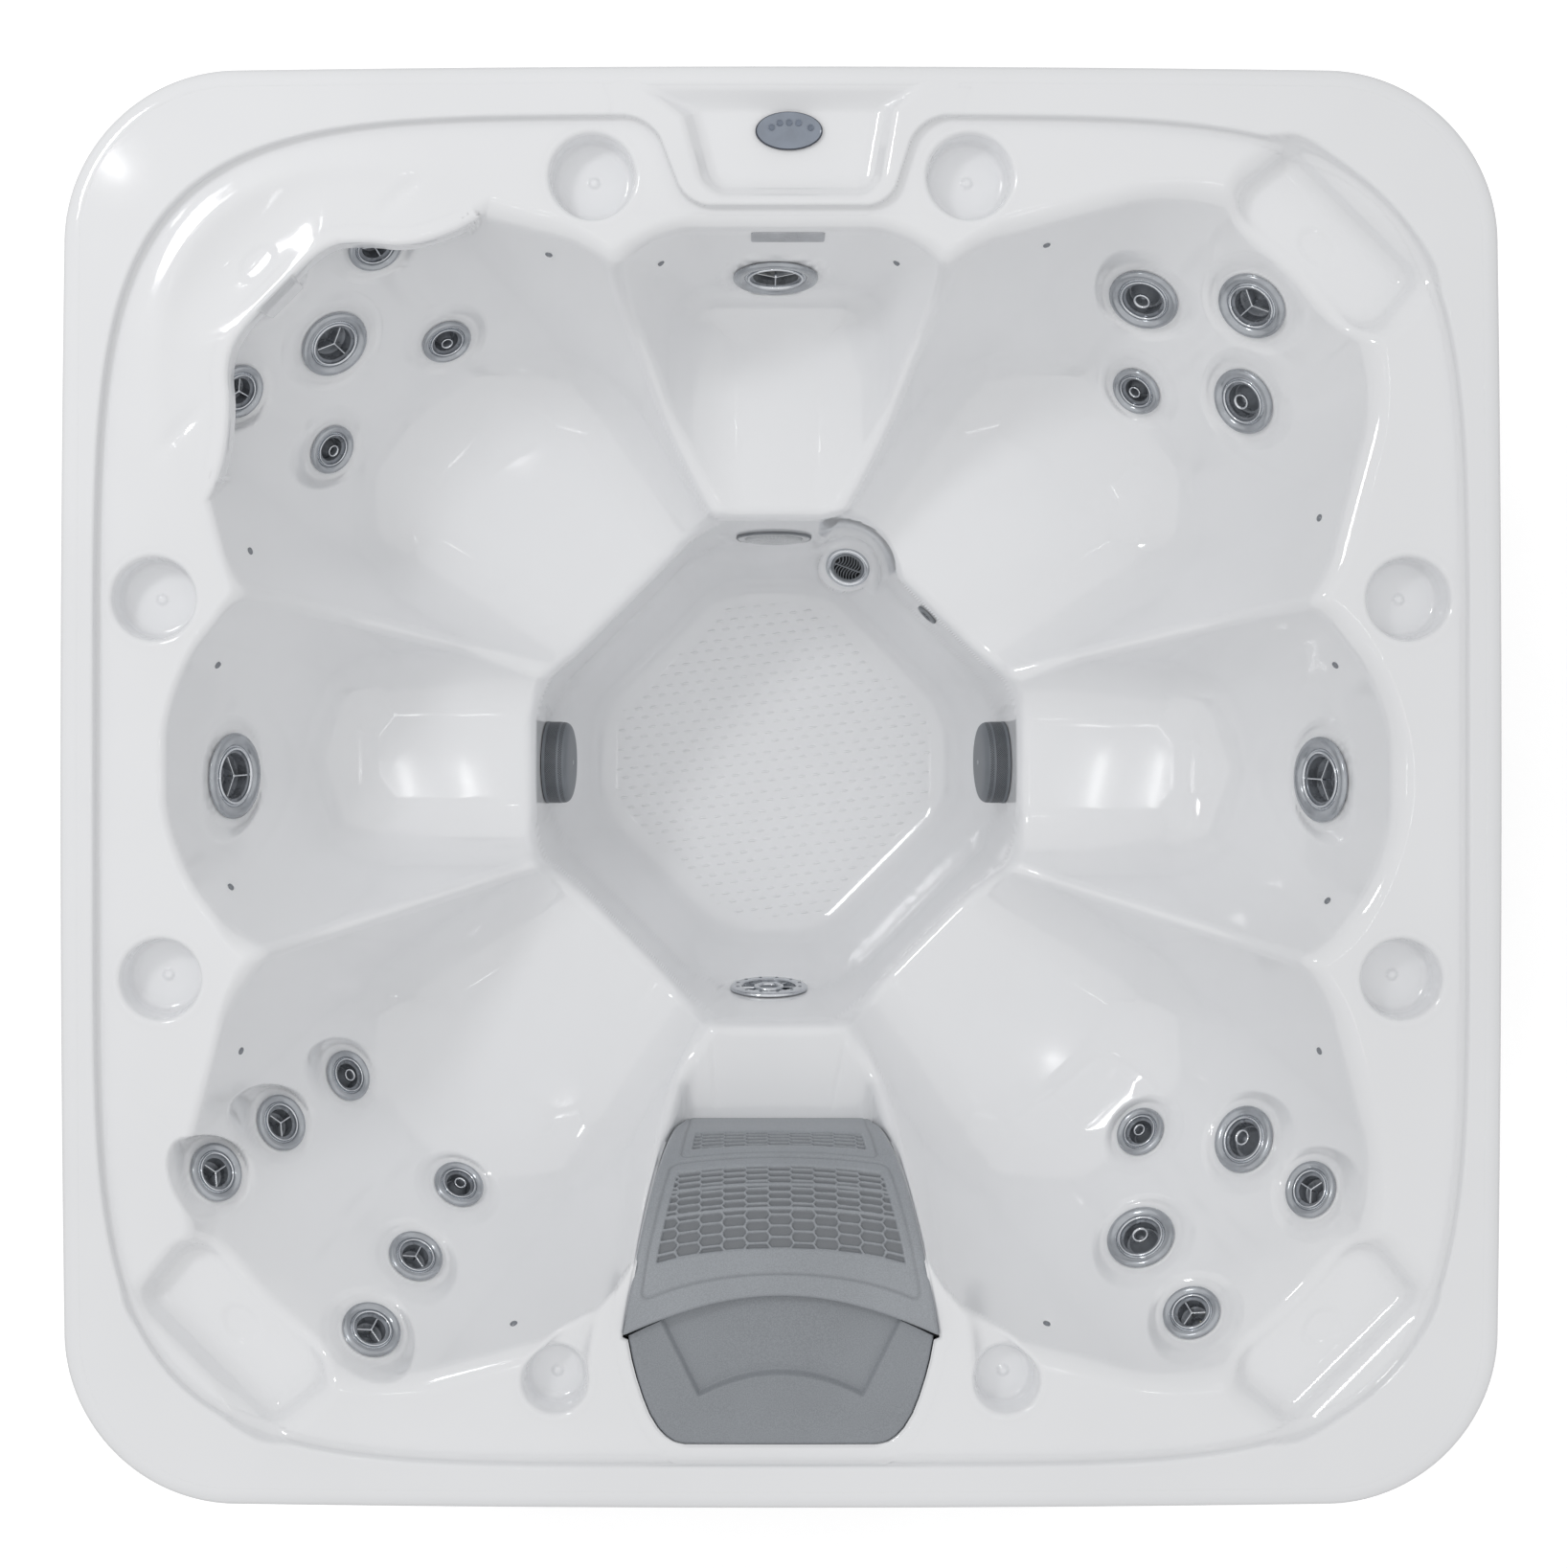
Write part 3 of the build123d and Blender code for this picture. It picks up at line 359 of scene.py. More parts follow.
def add_piece(name: str, sheets: Sequence[Sheet], finishes: Sequence[Material],
              body: str = ROOT, stands_for: Sequence[str] = (), sharp: float | None = 38,
              merge: bool = True) -> bpy.types.Object:
    """Build a piece from its sheets, dress it and name the body that it rides on.

    Args:
        name: Name of the piece.
        sheets: Its surfaces.
        finishes: Its materials, in the order of the sheets' dress.
        body: The body that it moves with.
        stands_for: The solids' nodes that it replaces.
        sharp: Angle in degrees past which an edge is sharp, or None for a soft surface.
        merge: Whether points that meet are merged.

    Returns:
        The piece.
    """
    piece = mesh_object(name, sheets, merge)
    for finish in finishes:
        piece.data.materials.append(finish)
    if sharp is not None:
        crease(piece, sharp)
    if stands_for:
        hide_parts(*stands_for)
    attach(piece, body)
    log.info("%s: %d faces", name, len(piece.data.polygons))
    return piece


# The moulded hollows of the shell
@dataclass(frozen=True)
class Wall:
    """A flat wall: its turn from its pocket's direction, its distance at floor level, its lean."""

    turn: float
    distance: float
    lean: float


@dataclass(frozen=True)
class Pocket:
    """A moulded pocket with a flat floor and leaning walls that meet it in a cove."""

    azimuth: float
    floor: float
    walls: tuple[Wall, ...]
    centre_y: float = 0.0
    cove: float = 45.0
    corner: float = 45.0

    def terms(self, x: Array, y: Array) -> list[tuple[Array, float]]:
        """Each wall's distance at height 0 and how much it falls for each millimetre of height."""
        found = []
        for wall in self.walls:
            angle, lean = math.radians(self.azimuth + wall.turn), math.radians(wall.lean)
            reach = x * math.cos(angle) + (y - self.centre_y) * math.sin(angle) - wall.distance
            base = reach * math.cos(lean) + self.floor * math.sin(lean)
            found.append((base.astype(np.float32), math.sin(lean)))
        return found

    def placing(self, wall: Wall, along: float, height: float) -> Placing:
        """The place on a wall: x sideways, y up the wall, z out of it into the pocket."""
        angle, lean = math.radians(self.azimuth + wall.turn), math.radians(wall.lean)
        outward = np.array([math.cos(angle), math.sin(angle), 0.0])
        sideways = np.array([-math.sin(angle), math.cos(angle), 0.0])
        reach = wall.distance + (height - self.floor) * math.tan(lean)
        normal = -outward * math.cos(lean) + np.array([0.0, 0.0, math.sin(lean)])
        origin = np.array([0.0, self.centre_y, height]) + outward * reach + sideways * along
        return Placing(origin, np.stack([sideways, np.cross(normal, sideways), normal], 1))


def corner_walls(plus: tuple[float, float], minus: tuple[float, float]) -> tuple[Wall, ...]:
    """The walls of a corner seat: a backrest of three facets, shoulders and arms."""
    return (Wall(0, 790, 37), Wall(16, 776, 35.9), Wall(-16, 776, 35.9), Wall(60, 541, 21),
            Wall(-60, 541, 21), Wall(103, *plus), Wall(-103, *minus), Wall(180, -300, 0))


def pillow_recess(azimuth: float) -> Pocket:
    """The shallow shelf behind a corner seat's backrest, for a pillow."""
    walls = (Wall(0, 1199, 24), Wall(36, 1046, 24), Wall(-36, 1046, 24), Wall(84, 252, 24),
             Wall(-84, 252, 24), Wall(140, -764, 24), Wall(-140, -764, 24), Wall(180, -1088, 30))
    return Pocket(azimuth, 840, walls, cove=16, corner=16)


def footwell_walls() -> tuple[Wall, ...]:
    """Eight sides, each a cove that rises from the floor into a steep upper wall."""
    walls = []
    for side in range(8):
        square = side % 2 == 0
        walls += [Wall(45 * side, 315 if square else 285, 29), Wall(45 * side, 371 if square else 341, 5)]
    return tuple(walls)


TOWARD_SIDE, TOWARD_BACK, TOWARD_FILTER = (54, 19), (105, 14), (95, 12)
SIDE_SEAT = (Wall(0, 744, 22), Wall(38, 625, 22), Wall(-38, 625, 22), Wall(90, 150, 17.5),
             Wall(-90, 150, 17.5), Wall(180, -300, 0))
BACK_SEAT = (Wall(0, 767, 11), Wall(45, 640, 14), Wall(-45, 640, 14), Wall(90, 140, 24),
             Wall(-90, 140, 24), Wall(180, -300, 0))
FILTER_BAY = (Wall(0, 975, 1.5), Wall(42, 800, 6), Wall(-42, 800, 6), Wall(90, 150, 14),
              Wall(-90, 150, 14), Wall(180, -300, 0))
POCKETS = {
    "back_left": Pocket(135, 445, corner_walls(TOWARD_SIDE, TOWARD_BACK), cove=88, corner=60),
    "back_right": Pocket(45, 445, corner_walls(TOWARD_BACK, TOWARD_SIDE), cove=88, corner=60),
    "front_left": Pocket(225, 445, corner_walls(TOWARD_FILTER, TOWARD_SIDE), cove=88, corner=60),
    "front_right": Pocket(315, 445, corner_walls(TOWARD_SIDE, TOWARD_FILTER), cove=88, corner=60),
    "left": Pocket(180, 460, SIDE_SEAT, centre_y=27, cove=80, corner=50),
    "right": Pocket(0, 460, SIDE_SEAT, centre_y=10, cove=80, corner=50),
    "back": Pocket(90, 560, BACK_SEAT, cove=78, corner=40),
    "filter": Pocket(270, 540, FILTER_BAY, cove=20, corner=20),
    "pillow_back_right": pillow_recess(45),
    "pillow_front_left": pillow_recess(225),
    "pillow_front_right": pillow_recess(315),
    "footwell": Pocket(0, 80, footwell_walls(), centre_y=5, cove=34, corner=34),
}
SEATS = ("back_left", "left", "front_left", "filter", "front_right", "right", "back_right", "back")
PILLOWS = ("pillow_back_right", "pillow_front_left", "pillow_front_right")
RIM, DECK, WALL, HALF = 902.0, 885.0, 12.0, 1067.0


class JetKind(Enum):
    """The three kinds of jet face."""

    STAR = "star"
    NOZZLE = "nozzle"
    FOOT = "foot"


@dataclass(frozen=True)
class Fitting:
    """A round fitting on a pocket's wall."""

    name: str
    pocket: str
    turn: float
    along: float
    height: float
    diameter: float
    kind: JetKind = JetKind.STAR

    def wall(self) -> Wall:
        """The last of the pocket's walls with this turn."""
        return [wall for wall in POCKETS[self.pocket].walls if wall.turn == self.turn][-1]

    def placing(self) -> Placing:
        """The fitting's place on its wall."""
        return POCKETS[self.pocket].placing(self.wall(), self.along, self.height)

    def on_wall(self, x: Array, y: Array) -> tuple[Array, Array, float]:
        """A plan point's distance from the fitting's middle along its wall, and the wall's term.

        The sideways part is taken as it is; the outward part is divided by the sine of the lean.
        """
        pocket, wall = POCKETS[self.pocket], self.wall()
        place = self.placing()
        angle, lean = math.radians(pocket.azimuth + wall.turn), math.radians(wall.lean)
        dx, dy = x - place.origin[0], y - place.origin[1]
        sideways = -dx * math.sin(angle) + dy * math.cos(angle)
        upward = (dx * math.cos(angle) + dy * math.sin(angle)) / math.sin(lean)
        reach = x * math.cos(angle) + (y - pocket.centre_y) * math.sin(angle) - wall.distance
        base = reach * math.cos(lean) + pocket.floor * math.sin(lean)
        return np.hypot(sideways, upward), base, math.sin(lean)


STAR, NOZZLE, FOOT = JetKind.STAR, JetKind.NOZZLE, JetKind.FOOT
JETS = (
    Fitting("jet_back_left_centre", "back_left", 0, 9, 692, 112),
    Fitting("jet_back_left_lumbar_inner", "back_left", -16, 127, 581, 82, NOZZLE),
    Fitting("jet_back_left_lumbar_outer", "back_left", 16, -113, 594, 82, NOZZLE),
    Fitting("jet_back_left_neck_inner", "back_left", -16, 144, 778, 85),
    Fitting("jet_back_left_neck_outer", "back_left", 16, -123, 775, 85),
    Fitting("jet_back_right_upper_inner", "back_right", 16, -136, 672, 112, NOZZLE),
    Fitting("jet_back_right_neck", "back_right", 0, 5, 764, 110),
    Fitting("jet_back_right_lumbar", "back_right", 0, 29, 537, 84, NOZZLE),
    Fitting("jet_back_right_upper_outer", "back_right", -16, 166, 661, 108, NOZZLE),
    Fitting("jet_back", "back", 0, 5, 680, 134),
    Fitting("jet_left", "left", 0, 19, 718, 134),
    Fitting("jet_right", "right", 0, -8, 711, 134),
    Fitting("jet_front_left_outer_top", "front_left", -16, 100, 803, 90),
    Fitting("jet_front_left_outer_middle", "front_left", -16, 92, 680, 90),
    Fitting("jet_front_left_outer_low", "front_left", -16, 88, 547, 84, NOZZLE),
    Fitting("jet_front_left_inner_low", "front_left", 16, -131, 532, 84, NOZZLE),
    Fitting("jet_front_left_inner_middle", "front_left", 16, -136, 666, 88),
    Fitting("jet_front_left_inner_top", "front_left", 16, -141, 794, 92),
    Fitting("jet_front_right_lumbar", "front_right", 0, 7, 510, 84, NOZZLE),
    Fitting("jet_front_right_outer", "front_right", 16, -142, 648, 108, NOZZLE),
    Fitting("jet_front_right_outer_top", "front_right", 16, -150, 773, 88),
    Fitting("jet_front_right_inner", "front_right", -16, 150, 640, 110, NOZZLE),
    Fitting("jet_front_right_inner_top", "front_right", -16, 158, 775, 90),
    Fitting("jet_foot", "footwell", 270, -11, 290, 135, FOOT),
)
SUCTION = (Fitting("suction_cover_left", "footwell", 180, -7, 330, 141),
           Fitting("suction_cover_right", "footwell", 0, 7, 330, 141))
LENS = Fitting("light_lens", "footwell", 90, 3, 345, 128)
OZONE = Fitting("ozone_fitting", "footwell", 45, 2, 378, 40)



@dataclass(frozen=True)
class ReturnPlan:
    """The water return: a tilted face with a low oval boss, in a round bay of the footwell's wall."""

    place: tuple[float, float, float] = (130.0, 353.0, 212.0)
    normal: tuple[float, float, float] = (-0.2, -0.55, 0.81)
    bay: tuple[float, float] = (122.0, 338.0)
    bay_radius: float = 63.0
    boss: tuple[float, float] = (52.0, 43.0)
    bore: float = 28.0


RETURN = ReturnPlan()
LIGHTS = tuple(Fitting("light", pocket, turn, along, height, 12) for pocket, turn, along, height in (
    ("back_left", -60, 545, 815), ("back_left", 60, -548, 815), ("back", 45, -433, 783),
    ("back", -45, 436, 780), ("back_right", 60, -600, 815), ("back_right", -60, 600, 815),
    ("left", -38, 403, 812), ("left", 38, -368, 812), ("right", 38, -383, 812),
    ("right", -38, 363, 812), ("front_left", -60, 600, 815), ("front_left", 60, -600, 815),
    ("front_right", -60, 600, 815), ("front_right", 60, -600, 815)))


@dataclass(frozen=True)
class Cup:
    """A cup holder: its middle, its opening's radius and the middle of its tail's end."""

    x: float
    y: float
    radius: float
    tail: tuple[float, float] | None = None


CUPS = (Cup(-280, 905, 64), Cup(280, 905, 64), Cup(-930, 279, 62), Cup(930, 279, 62),
        Cup(-920, -285, 60), Cup(920, -285, 60), Cup(-335, -880, 48, (-279, -735)),
        Cup(335, -880, 48, (290, -745)))


def cup_gap(x: Array, y: Array) -> Array:
    """Distance outside the nearest cup holder's opening, negative in it."""
    return np.minimum.reduce([np.hypot(x - cup.x, y - cup.y) - cup.radius for cup in CUPS])


@dataclass(frozen=True)
class Collar:
    """The overhanging collar of the back left seat."""

    underside: float = 838.0
    edge: tuple[tuple[float, float], ...] = (
        (-250, 885), (-360, 876), (-420, 858), (-491, 818), (-560, 800), (-620, 808), (-676, 803),
        (-742, 738), (-805, 672), (-822, 622), (-815, 565), (-826, 470), (-862, 392), (-880, 330),
        (-890, 200))

    def line(self) -> Array:
        """The edge as a smooth line."""
        return soften(np.array(self.edge, float), 2)

    def distance(self, x: Array, y: Array) -> Array:
        """Signed distance to the edge, positive over the collar."""
        line = self.line()
        closed = np.concatenate([[(2500, 885)], line, [(-890, -2500), (2500, -2500)]])
        away, _ = line_distance(x, y, np.concatenate([[(2500, 885)], line, [(-890, -2500)]]))
        return np.where(inside_line(x, y, closed), -away, away)


COLLAR = Collar()


@dataclass(frozen=True)
class StepLine:
    """The line where the rim steps down to the deck: a power oval that dips round the tray."""

    half_x: float = 1014.0
    half_y: float = 995.5
    centre_y: float = -4.5
    power: float = 5.3
    dip_y: float = 858.0
    dip_sides: tuple = (((-164, 920), (0.934, 0.357)), ((181, 920), (-0.952, 0.305)))

    def distance(self, x: Array, y: Array) -> Array:
        """Signed distance, positive on the rim: the oval's measure divided by its slope."""
        ax, ay = np.abs(x) / self.half_x + 1e-9, np.abs(y - self.centre_y) / self.half_y + 1e-9
        total = ax ** self.power + ay ** self.power
        level = total ** (1 / self.power) - 1
        slope = total ** (1 / self.power - 1)
        gx = slope * ax ** (self.power - 1) / self.half_x
        gy = slope * ay ** (self.power - 1) / self.half_y
        oval = level / np.hypot(gx, gy)
        left, right = (side_of(x, y, *line) for line in self.dip_sides)
        plateau = -rounded_max(rounded_max(self.dip_y - y, -left, 34), -right, 34)
        return -rounded_min(-oval, -plateau, 40)

    def at(self, angle: Array) -> tuple[Array, Array]:
        """The oval's point in each direction from its middle, and its outward normal there."""
        cos, sin = np.cos(angle), np.sin(angle)
        reach = (np.abs(cos / self.half_x) ** self.power
                 + np.abs(sin / self.half_y) ** self.power) ** (-1 / self.power)
        point = np.stack([reach * cos, reach * sin], -1)
        gx = np.sign(cos) * (np.abs(point[:, 0]) / self.half_x) ** (self.power - 1) / self.half_x
        gy = np.sign(sin) * (np.abs(point[:, 1]) / self.half_y) ** (self.power - 1) / self.half_y
        normal = np.stack([gx, gy], -1) / np.hypot(gx, gy)[:, None]
        return point + (0, self.centre_y), normal


STEP = StepLine()


@dataclass(frozen=True)
class FilterPlan:
    """The plan of the filter cover: half widths of the cowl and the lid behind it."""

    front: float = -557.0
    rear: float = -818.0
    arc: float = -752.0
    lid_end: float = -975.0
    crown_start: float = -800.0
    crown: float = 897.0
    drop: float = 287.0
    foot: float = 546.0

    def gap(self, y: Array) -> Array:
        """Clearance round the cover: close at the fixed cowl, wider at the lid, which turns."""
        return 0.3 + 1.1 * ease(-y, 800, 826)

    def cowl_half(self, y: Array) -> Array:
        """The cowl's half width: 165 at the front, 70 more at the rear on a falling power."""
        return 165 + 70 * np.clip((self.front - y) / (self.front - self.rear), 0, 1) ** 0.55

    def lid_half(self, y: Array) -> Array:
        """The lid's half width, through points measured down its side."""
        return np.interp(-y, (818, 850, 877, 905, 930, 950, 962, 970, 975),
                         (227, 221, 214, 205, 195, 183, 172, 160, 142))

    def half(self, y: Array) -> Array:
        """The half width of the whole cover."""
        return np.where(y > self.rear, self.cowl_half(y), self.lid_half(y))

    def path(self) -> Array:
        """The cover's outline from its front right corner round the back to its front left."""
        y = np.concatenate([[-572.6], np.linspace(-576, -900, 90), np.linspace(-904, self.lid_end, 31)])
        side = np.stack([self.half(y), y], -1)
        back = np.stack([np.linspace(142, -142, 70)[1:-1], np.full(68, self.lid_end)], -1)
        return np.concatenate([side, back, (side * (-1, 1))[::-1]])

    def outside(self, x: Array, y: Array) -> Array:
        """Distance outside the cover's sides and back, negative within."""
        return np.maximum(np.abs(x) - self.half(y), np.where(y < -900, self.lid_end - y, -400))


FILTER = FilterPlan()


# Each side of the control panel's tray as a point and an outward normal: left, its flare, right, its flare
TRAY_SIDES = (((-106, 924), (-0.965, -0.26)), ((-126, 1000), (-0.62, -0.78)),
              ((131, 900), (0.985, -0.17)), ((150, 1010), (0.72, -0.69)))
TRAY_ENDS = (892, 1046)

# Radii of the moulding's convex edges, then of its coves
RIDGE, DECK_LIP, PILLOW_LIP, FOOTWELL_LIP, BAY_LIP, CUP_LIP, TRAY_LIP, RIM_LIP = 26, 24, 20, 22, 12, 8, 5, 6
FACET_COVE, BAY_COVE, CUP_COVE, TAIL_COVE, TRAY_COVE, DECK_COVE = 24, 12, 12, 10, 8, 6
FILTER_RIDGE, FILTER_LIP, COLLAR_LIP = 6, 5, 10
CUP_FLOOR, TAIL_FLOOR, TRAY_FLOOR = 830, 846, 876

# How steep the walls of the small hollows are: the cosine and sine of their lean
CUP_LEAN, TAIL_LEAN, TRAY_LEAN, BAY_LEAN = (0.996, 0.09), (0.9, 0.44), (0.76, 0.65), (1, 0.07)

# A fitting's seat: how far outside its edge the wall is flat, and where it meets the moulding
SEAT_FLAT, SEAT_BLEND = 10, 34


class AirField:
    """The signed distance to the air of the shell's hollows, negative in the air.

    Each hollow is a floor and walls joined by coves; hollows are joined by rounded ridges. What
    depends on the plan alone is worked out once, and gap() adds the height.
    """

    def __init__(self, x: Array, y: Array, collar: bool = True) -> None:
        """Work out the plan terms.

        Args:
            x: Plan positions.
            y: Plan positions.
            collar: Whether the back left seat ends under its collar's edge.
        """
        self.x, self.y = x.astype(np.float32), y.astype(np.float32)
        self.walls = {name: pocket.terms(self.x, self.y) for name, pocket in POCKETS.items()}
        self.collar = COLLAR.distance(self.x, self.y) if collar else None
        self.step = STEP.distance(self.x, self.y).astype(np.float32)
        at_filter = ease(-self.y, 540, 610) * (1 - ease(np.abs(self.x), 250, 320))
        self.ridge = RIDGE - (RIDGE - FILTER_RIDGE) * at_filter
        self.deck_lip = DECK_LIP - (DECK_LIP - FILTER_LIP) * at_filter
        if self.collar is not None:
            beside = 1 - ease(np.abs(self.collar), 45, 90)
            behind = self.x + self.y < 400
            self.deck_lip = self.deck_lip - (DECK_LIP - COLLAR_LIP) * beside * behind
        self.bay = np.where(self.y < -572, FILTER.outside(self.x, self.y) - FILTER.gap(self.y), -400)
        dx, dy = self.x - RETURN.place[0], self.y - RETURN.place[1]
        self.return_plane = (RETURN.normal[0] * dx + RETURN.normal[1] * dy
                             - RETURN.normal[2] * RETURN.place[2])
        self.return_bay = np.hypot(self.x - RETURN.bay[0], self.y - RETURN.bay[1]) - RETURN.bay_radius
        self.return_boss = (np.hypot(dx / RETURN.boss[0], dy / RETURN.boss[1]) - 1) * 46
        self.tray = self._tray()
        self.tray_floor = TRAY_FLOOR + 28 * ease(self.y, 1000, 1042)
        self.relief = self._relief()
        self.seats = []
        for fitting in (*JETS, *SUCTION, LENS, OZONE):
            away, base, slope = fitting.on_wall(self.x, self.y)
            radius = fitting.diameter / 2
            weight = 1 - ease(away, radius + SEAT_FLAT, radius + SEAT_BLEND)
            if self.collar is not None and fitting.pocket == "back_left":
                weight = np.where(self.collar > 0, 0, weight)
            index = np.nonzero(weight > 0)
            self.seats.append((index, weight[index], base[index], slope))

    def _tray(self) -> Array:
        """Signed plan distance to the control panel's tray, negative inside."""
        left, left_flare, right, right_flare = (side_of(self.x, self.y, *line) for line in TRAY_SIDES)
        sides = rounded_max(np.minimum(left, left_flare), np.minimum(right, right_flare), 2)
        ends = np.maximum(TRAY_ENDS[0] - self.y, self.y - TRAY_ENDS[1])
        return rounded_max(sides, ends, 16)

    def _relief(self) -> Array:
        """Soft raised and sunk lines of the moulding, in millimetres, positive where raised."""
        total = np.zeros(self.x.shape, np.float32)
        for jet in JETS[:-1]:
            away, _, _ = jet.on_wall(self.x, self.y)
            radius = jet.diameter / 2
            raised, sunk = (np.exp(-((away - radius - reach) / width) ** 2)
                            for reach, width in ((19, 5), (5, 4)))
            rings = 0.9 * raised - 0.9 * sunk
            under_collar = jet.pocket == "back_left" and self.collar is not None
            total += np.where(self.collar > -4, 0, rings) if under_collar else rings
        for form in (*GROOVES, *DISHES):
            total += form.height(self.x, self.y)
        return total

    def _pocket(self, name: str, z: Array) -> Array:
        """Signed distance to one pocket at the given heights."""
        pocket = POCKETS[name]
        (base, slope), *others = self.walls[name]
        value = base - slope * z
        for wall, (base, slope) in zip(pocket.walls[1:], others):
            cove = FACET_COVE if abs(wall.turn) < 20 else pocket.corner
            value = rounded_max(value, base - slope * z, cove)
        return rounded_max(value, pocket.floor - z, pocket.cove)

    def _cup(self, cup: Cup, z: Array) -> Array:
        """Signed distance to a cup holder with a nub in its floor and a rising tail."""
        away = np.hypot(self.x - cup.x, self.y - cup.y)
        floor = CUP_FLOOR + 4 * (1 - ease(away, 3, 11))
        wall = (away - cup.radius) * CUP_LEAN[0] - (z - DECK) * CUP_LEAN[1]
        value = rounded_max(floor - z, wall, CUP_COVE)
        if cup.tail is not None:
            line = np.array([(cup.x, cup.y), cup.tail], float)
            near, share = line_distance(self.x, self.y, line)
            width = cup.radius - 2 - (cup.radius - 14) * share
            side = (near - width) * TAIL_LEAN[0] - (z - DECK) * TAIL_LEAN[1]
            tail = rounded_max(TAIL_FLOOR + 42 * share - z, side, TAIL_COVE)
            value = rounded_min(value, tail, CUP_LIP)
        return value

    def gap(self, z: Array) -> Array:
        """Signed distance to the air at the given heights, positive in the moulding."""
        air = None
        for name in SEATS:
            value = self._pocket(name, z)
            if name == "back_left" and self.collar is not None:
                value = np.maximum(value, self.collar)
            if name == "filter":
                value = np.maximum(value, self.bay)
            air = value if air is None else rounded_min(air, value, self.ridge)
        for name in PILLOWS:
            air = rounded_min(air, self._pocket(name, z), PILLOW_LIP)
        air = rounded_min(air, self._pocket("footwell", z), FOOTWELL_LIP)
        plane = self.return_plane + RETURN.normal[2] * z
        wall = self.return_bay * BAY_LEAN[0] - (z - RETURN.place[2]) * BAY_LEAN[1]
        air = rounded_min(air, rounded_max(-plane, wall, BAY_COVE), BAY_LIP)
        air = -rounded_min(-air, rounded_max(plane, self.return_boss, 6), 8)
        air = rounded_min(air, rounded_max(DECK - z, self.step, DECK_COVE), self.deck_lip)
        for index, weight, base, slope in self.seats:
            air[index] += weight * (base - slope * z[index] - air[index])
        for cup in CUPS:
            air = rounded_min(air, self._cup(cup, z), CUP_LIP)
        wall = self.tray * TRAY_LEAN[0] - (z - TRAY_FLOOR) * TRAY_LEAN[1]
        air = rounded_min(air, rounded_max(self.tray_floor - z, wall, TRAY_COVE), TRAY_LIP)
        return rounded_min(air, RIM - z, RIM_LIP) + self.relief

    def height(self, depth: float = 0.0) -> Array:
        """Height of the surface at each plan point, found by halving the range of heights.

        Args:
            depth: How far behind the surface, for the back of the moulding.

        Returns:
            Heights in millimetres.
        """
        low = np.full(self.x.shape, 40, np.float32)
        high = np.full(self.x.shape, RIM + 6, np.float32)
        for _ in range(18):
            middle = (low + high) / 2
            solid = self.gap(middle) > depth
            low, high = np.where(solid, middle, low), np.where(solid, high, middle)
        return np.minimum((low + high) / 2, RIM)


def surface(x: Array, y: Array, collar: bool = True, depth: float = 0.0) -> tuple[Array, Array]:
    """Points and normals of the moulding over a grid of plan positions.

    The normal is the slope of the signed distance, from its values a millimetre to each side.

    Args:
        x: Plan positions, rows by columns.
        y: Plan positions, rows by columns.
        collar: Whether the collar's edge ends the back left seat.
        depth: How far behind the surface.

    Returns:
        Points and unit normals, rows by columns by three.
    """
    z = AirField(x, y, collar).height(depth)
    span = 1.0  # how far to each side, in millimetres
    slope_x = AirField(x + span, y, collar).gap(z) - AirField(x - span, y, collar).gap(z)
    slope_y = AirField(x, y + span, collar).gap(z) - AirField(x, y - span, collar).gap(z)
    here = AirField(x, y, collar)
    slope_z = here.gap(z + span) - here.gap(z - span)
    normal = -np.stack([slope_x, slope_y, slope_z], -1)
    normal /= np.linalg.norm(normal, axis=-1, keepdims=True) + 1e-9
    return np.stack([x, y, z], -1), normal


def settled(place: Placing) -> Placing:
    """The place moved along its own normal until it lies on the moulding's face."""
    origin = place.origin.copy()
    for _ in range(4):
        x, y, z = (np.full((1, 1), value) for value in origin)
        away = float(AirField(x, y).gap(z)[0, 0])
        if abs(away) > 30:
            return place
        origin = origin + place.axes[:, 2] * away
    return Placing(origin, place.axes)


@dataclass(frozen=True)
class Groove:
    """A soft line in the moulding: a bell section along a line, fading to its ends."""

    line: tuple[tuple[float, float], ...]
    rise: float
    width: float

    def height(self, x: Array, y: Array) -> Array:
        """Rise times a bell of the distance from the line, times a half sine of the place on it."""
        points = soften(np.array(self.line, float), 2)
        low, high = points.min(0) - 4 * self.width, points.max(0) + 4 * self.width
        near = (x > low[0]) & (x < high[0]) & (y > low[1]) & (y < high[1])
        result = np.zeros(x.shape, np.float32)
        away, share = line_distance(x[near], y[near], points)
        fade = np.sin(np.pi * np.clip(share, 0.02, 0.98)) ** 0.7
        result[near] = self.rise * np.exp(-(away / self.width) ** 2) * fade
        return result


@dataclass(frozen=True)
class Dish:
    """A shallow oval hollow or boss in the moulding."""

    centre: tuple[float, float]
    half: tuple[float, float]
    turn: float
    rise: float
    inner: float = 0.62

    def height(self, x: Array, y: Array) -> Array:
        """Rise inside the oval, easing to nothing at its edge."""
        cos, sin = math.cos(math.radians(self.turn)), math.sin(math.radians(self.turn))
        dx, dy = x - self.centre[0], y - self.centre[1]
        away = np.hypot((dx * cos + dy * sin) / self.half[0], (dy * cos - dx * sin) / self.half[1])
        return self.rise * (1 - ease(away, self.inner, 1.05))


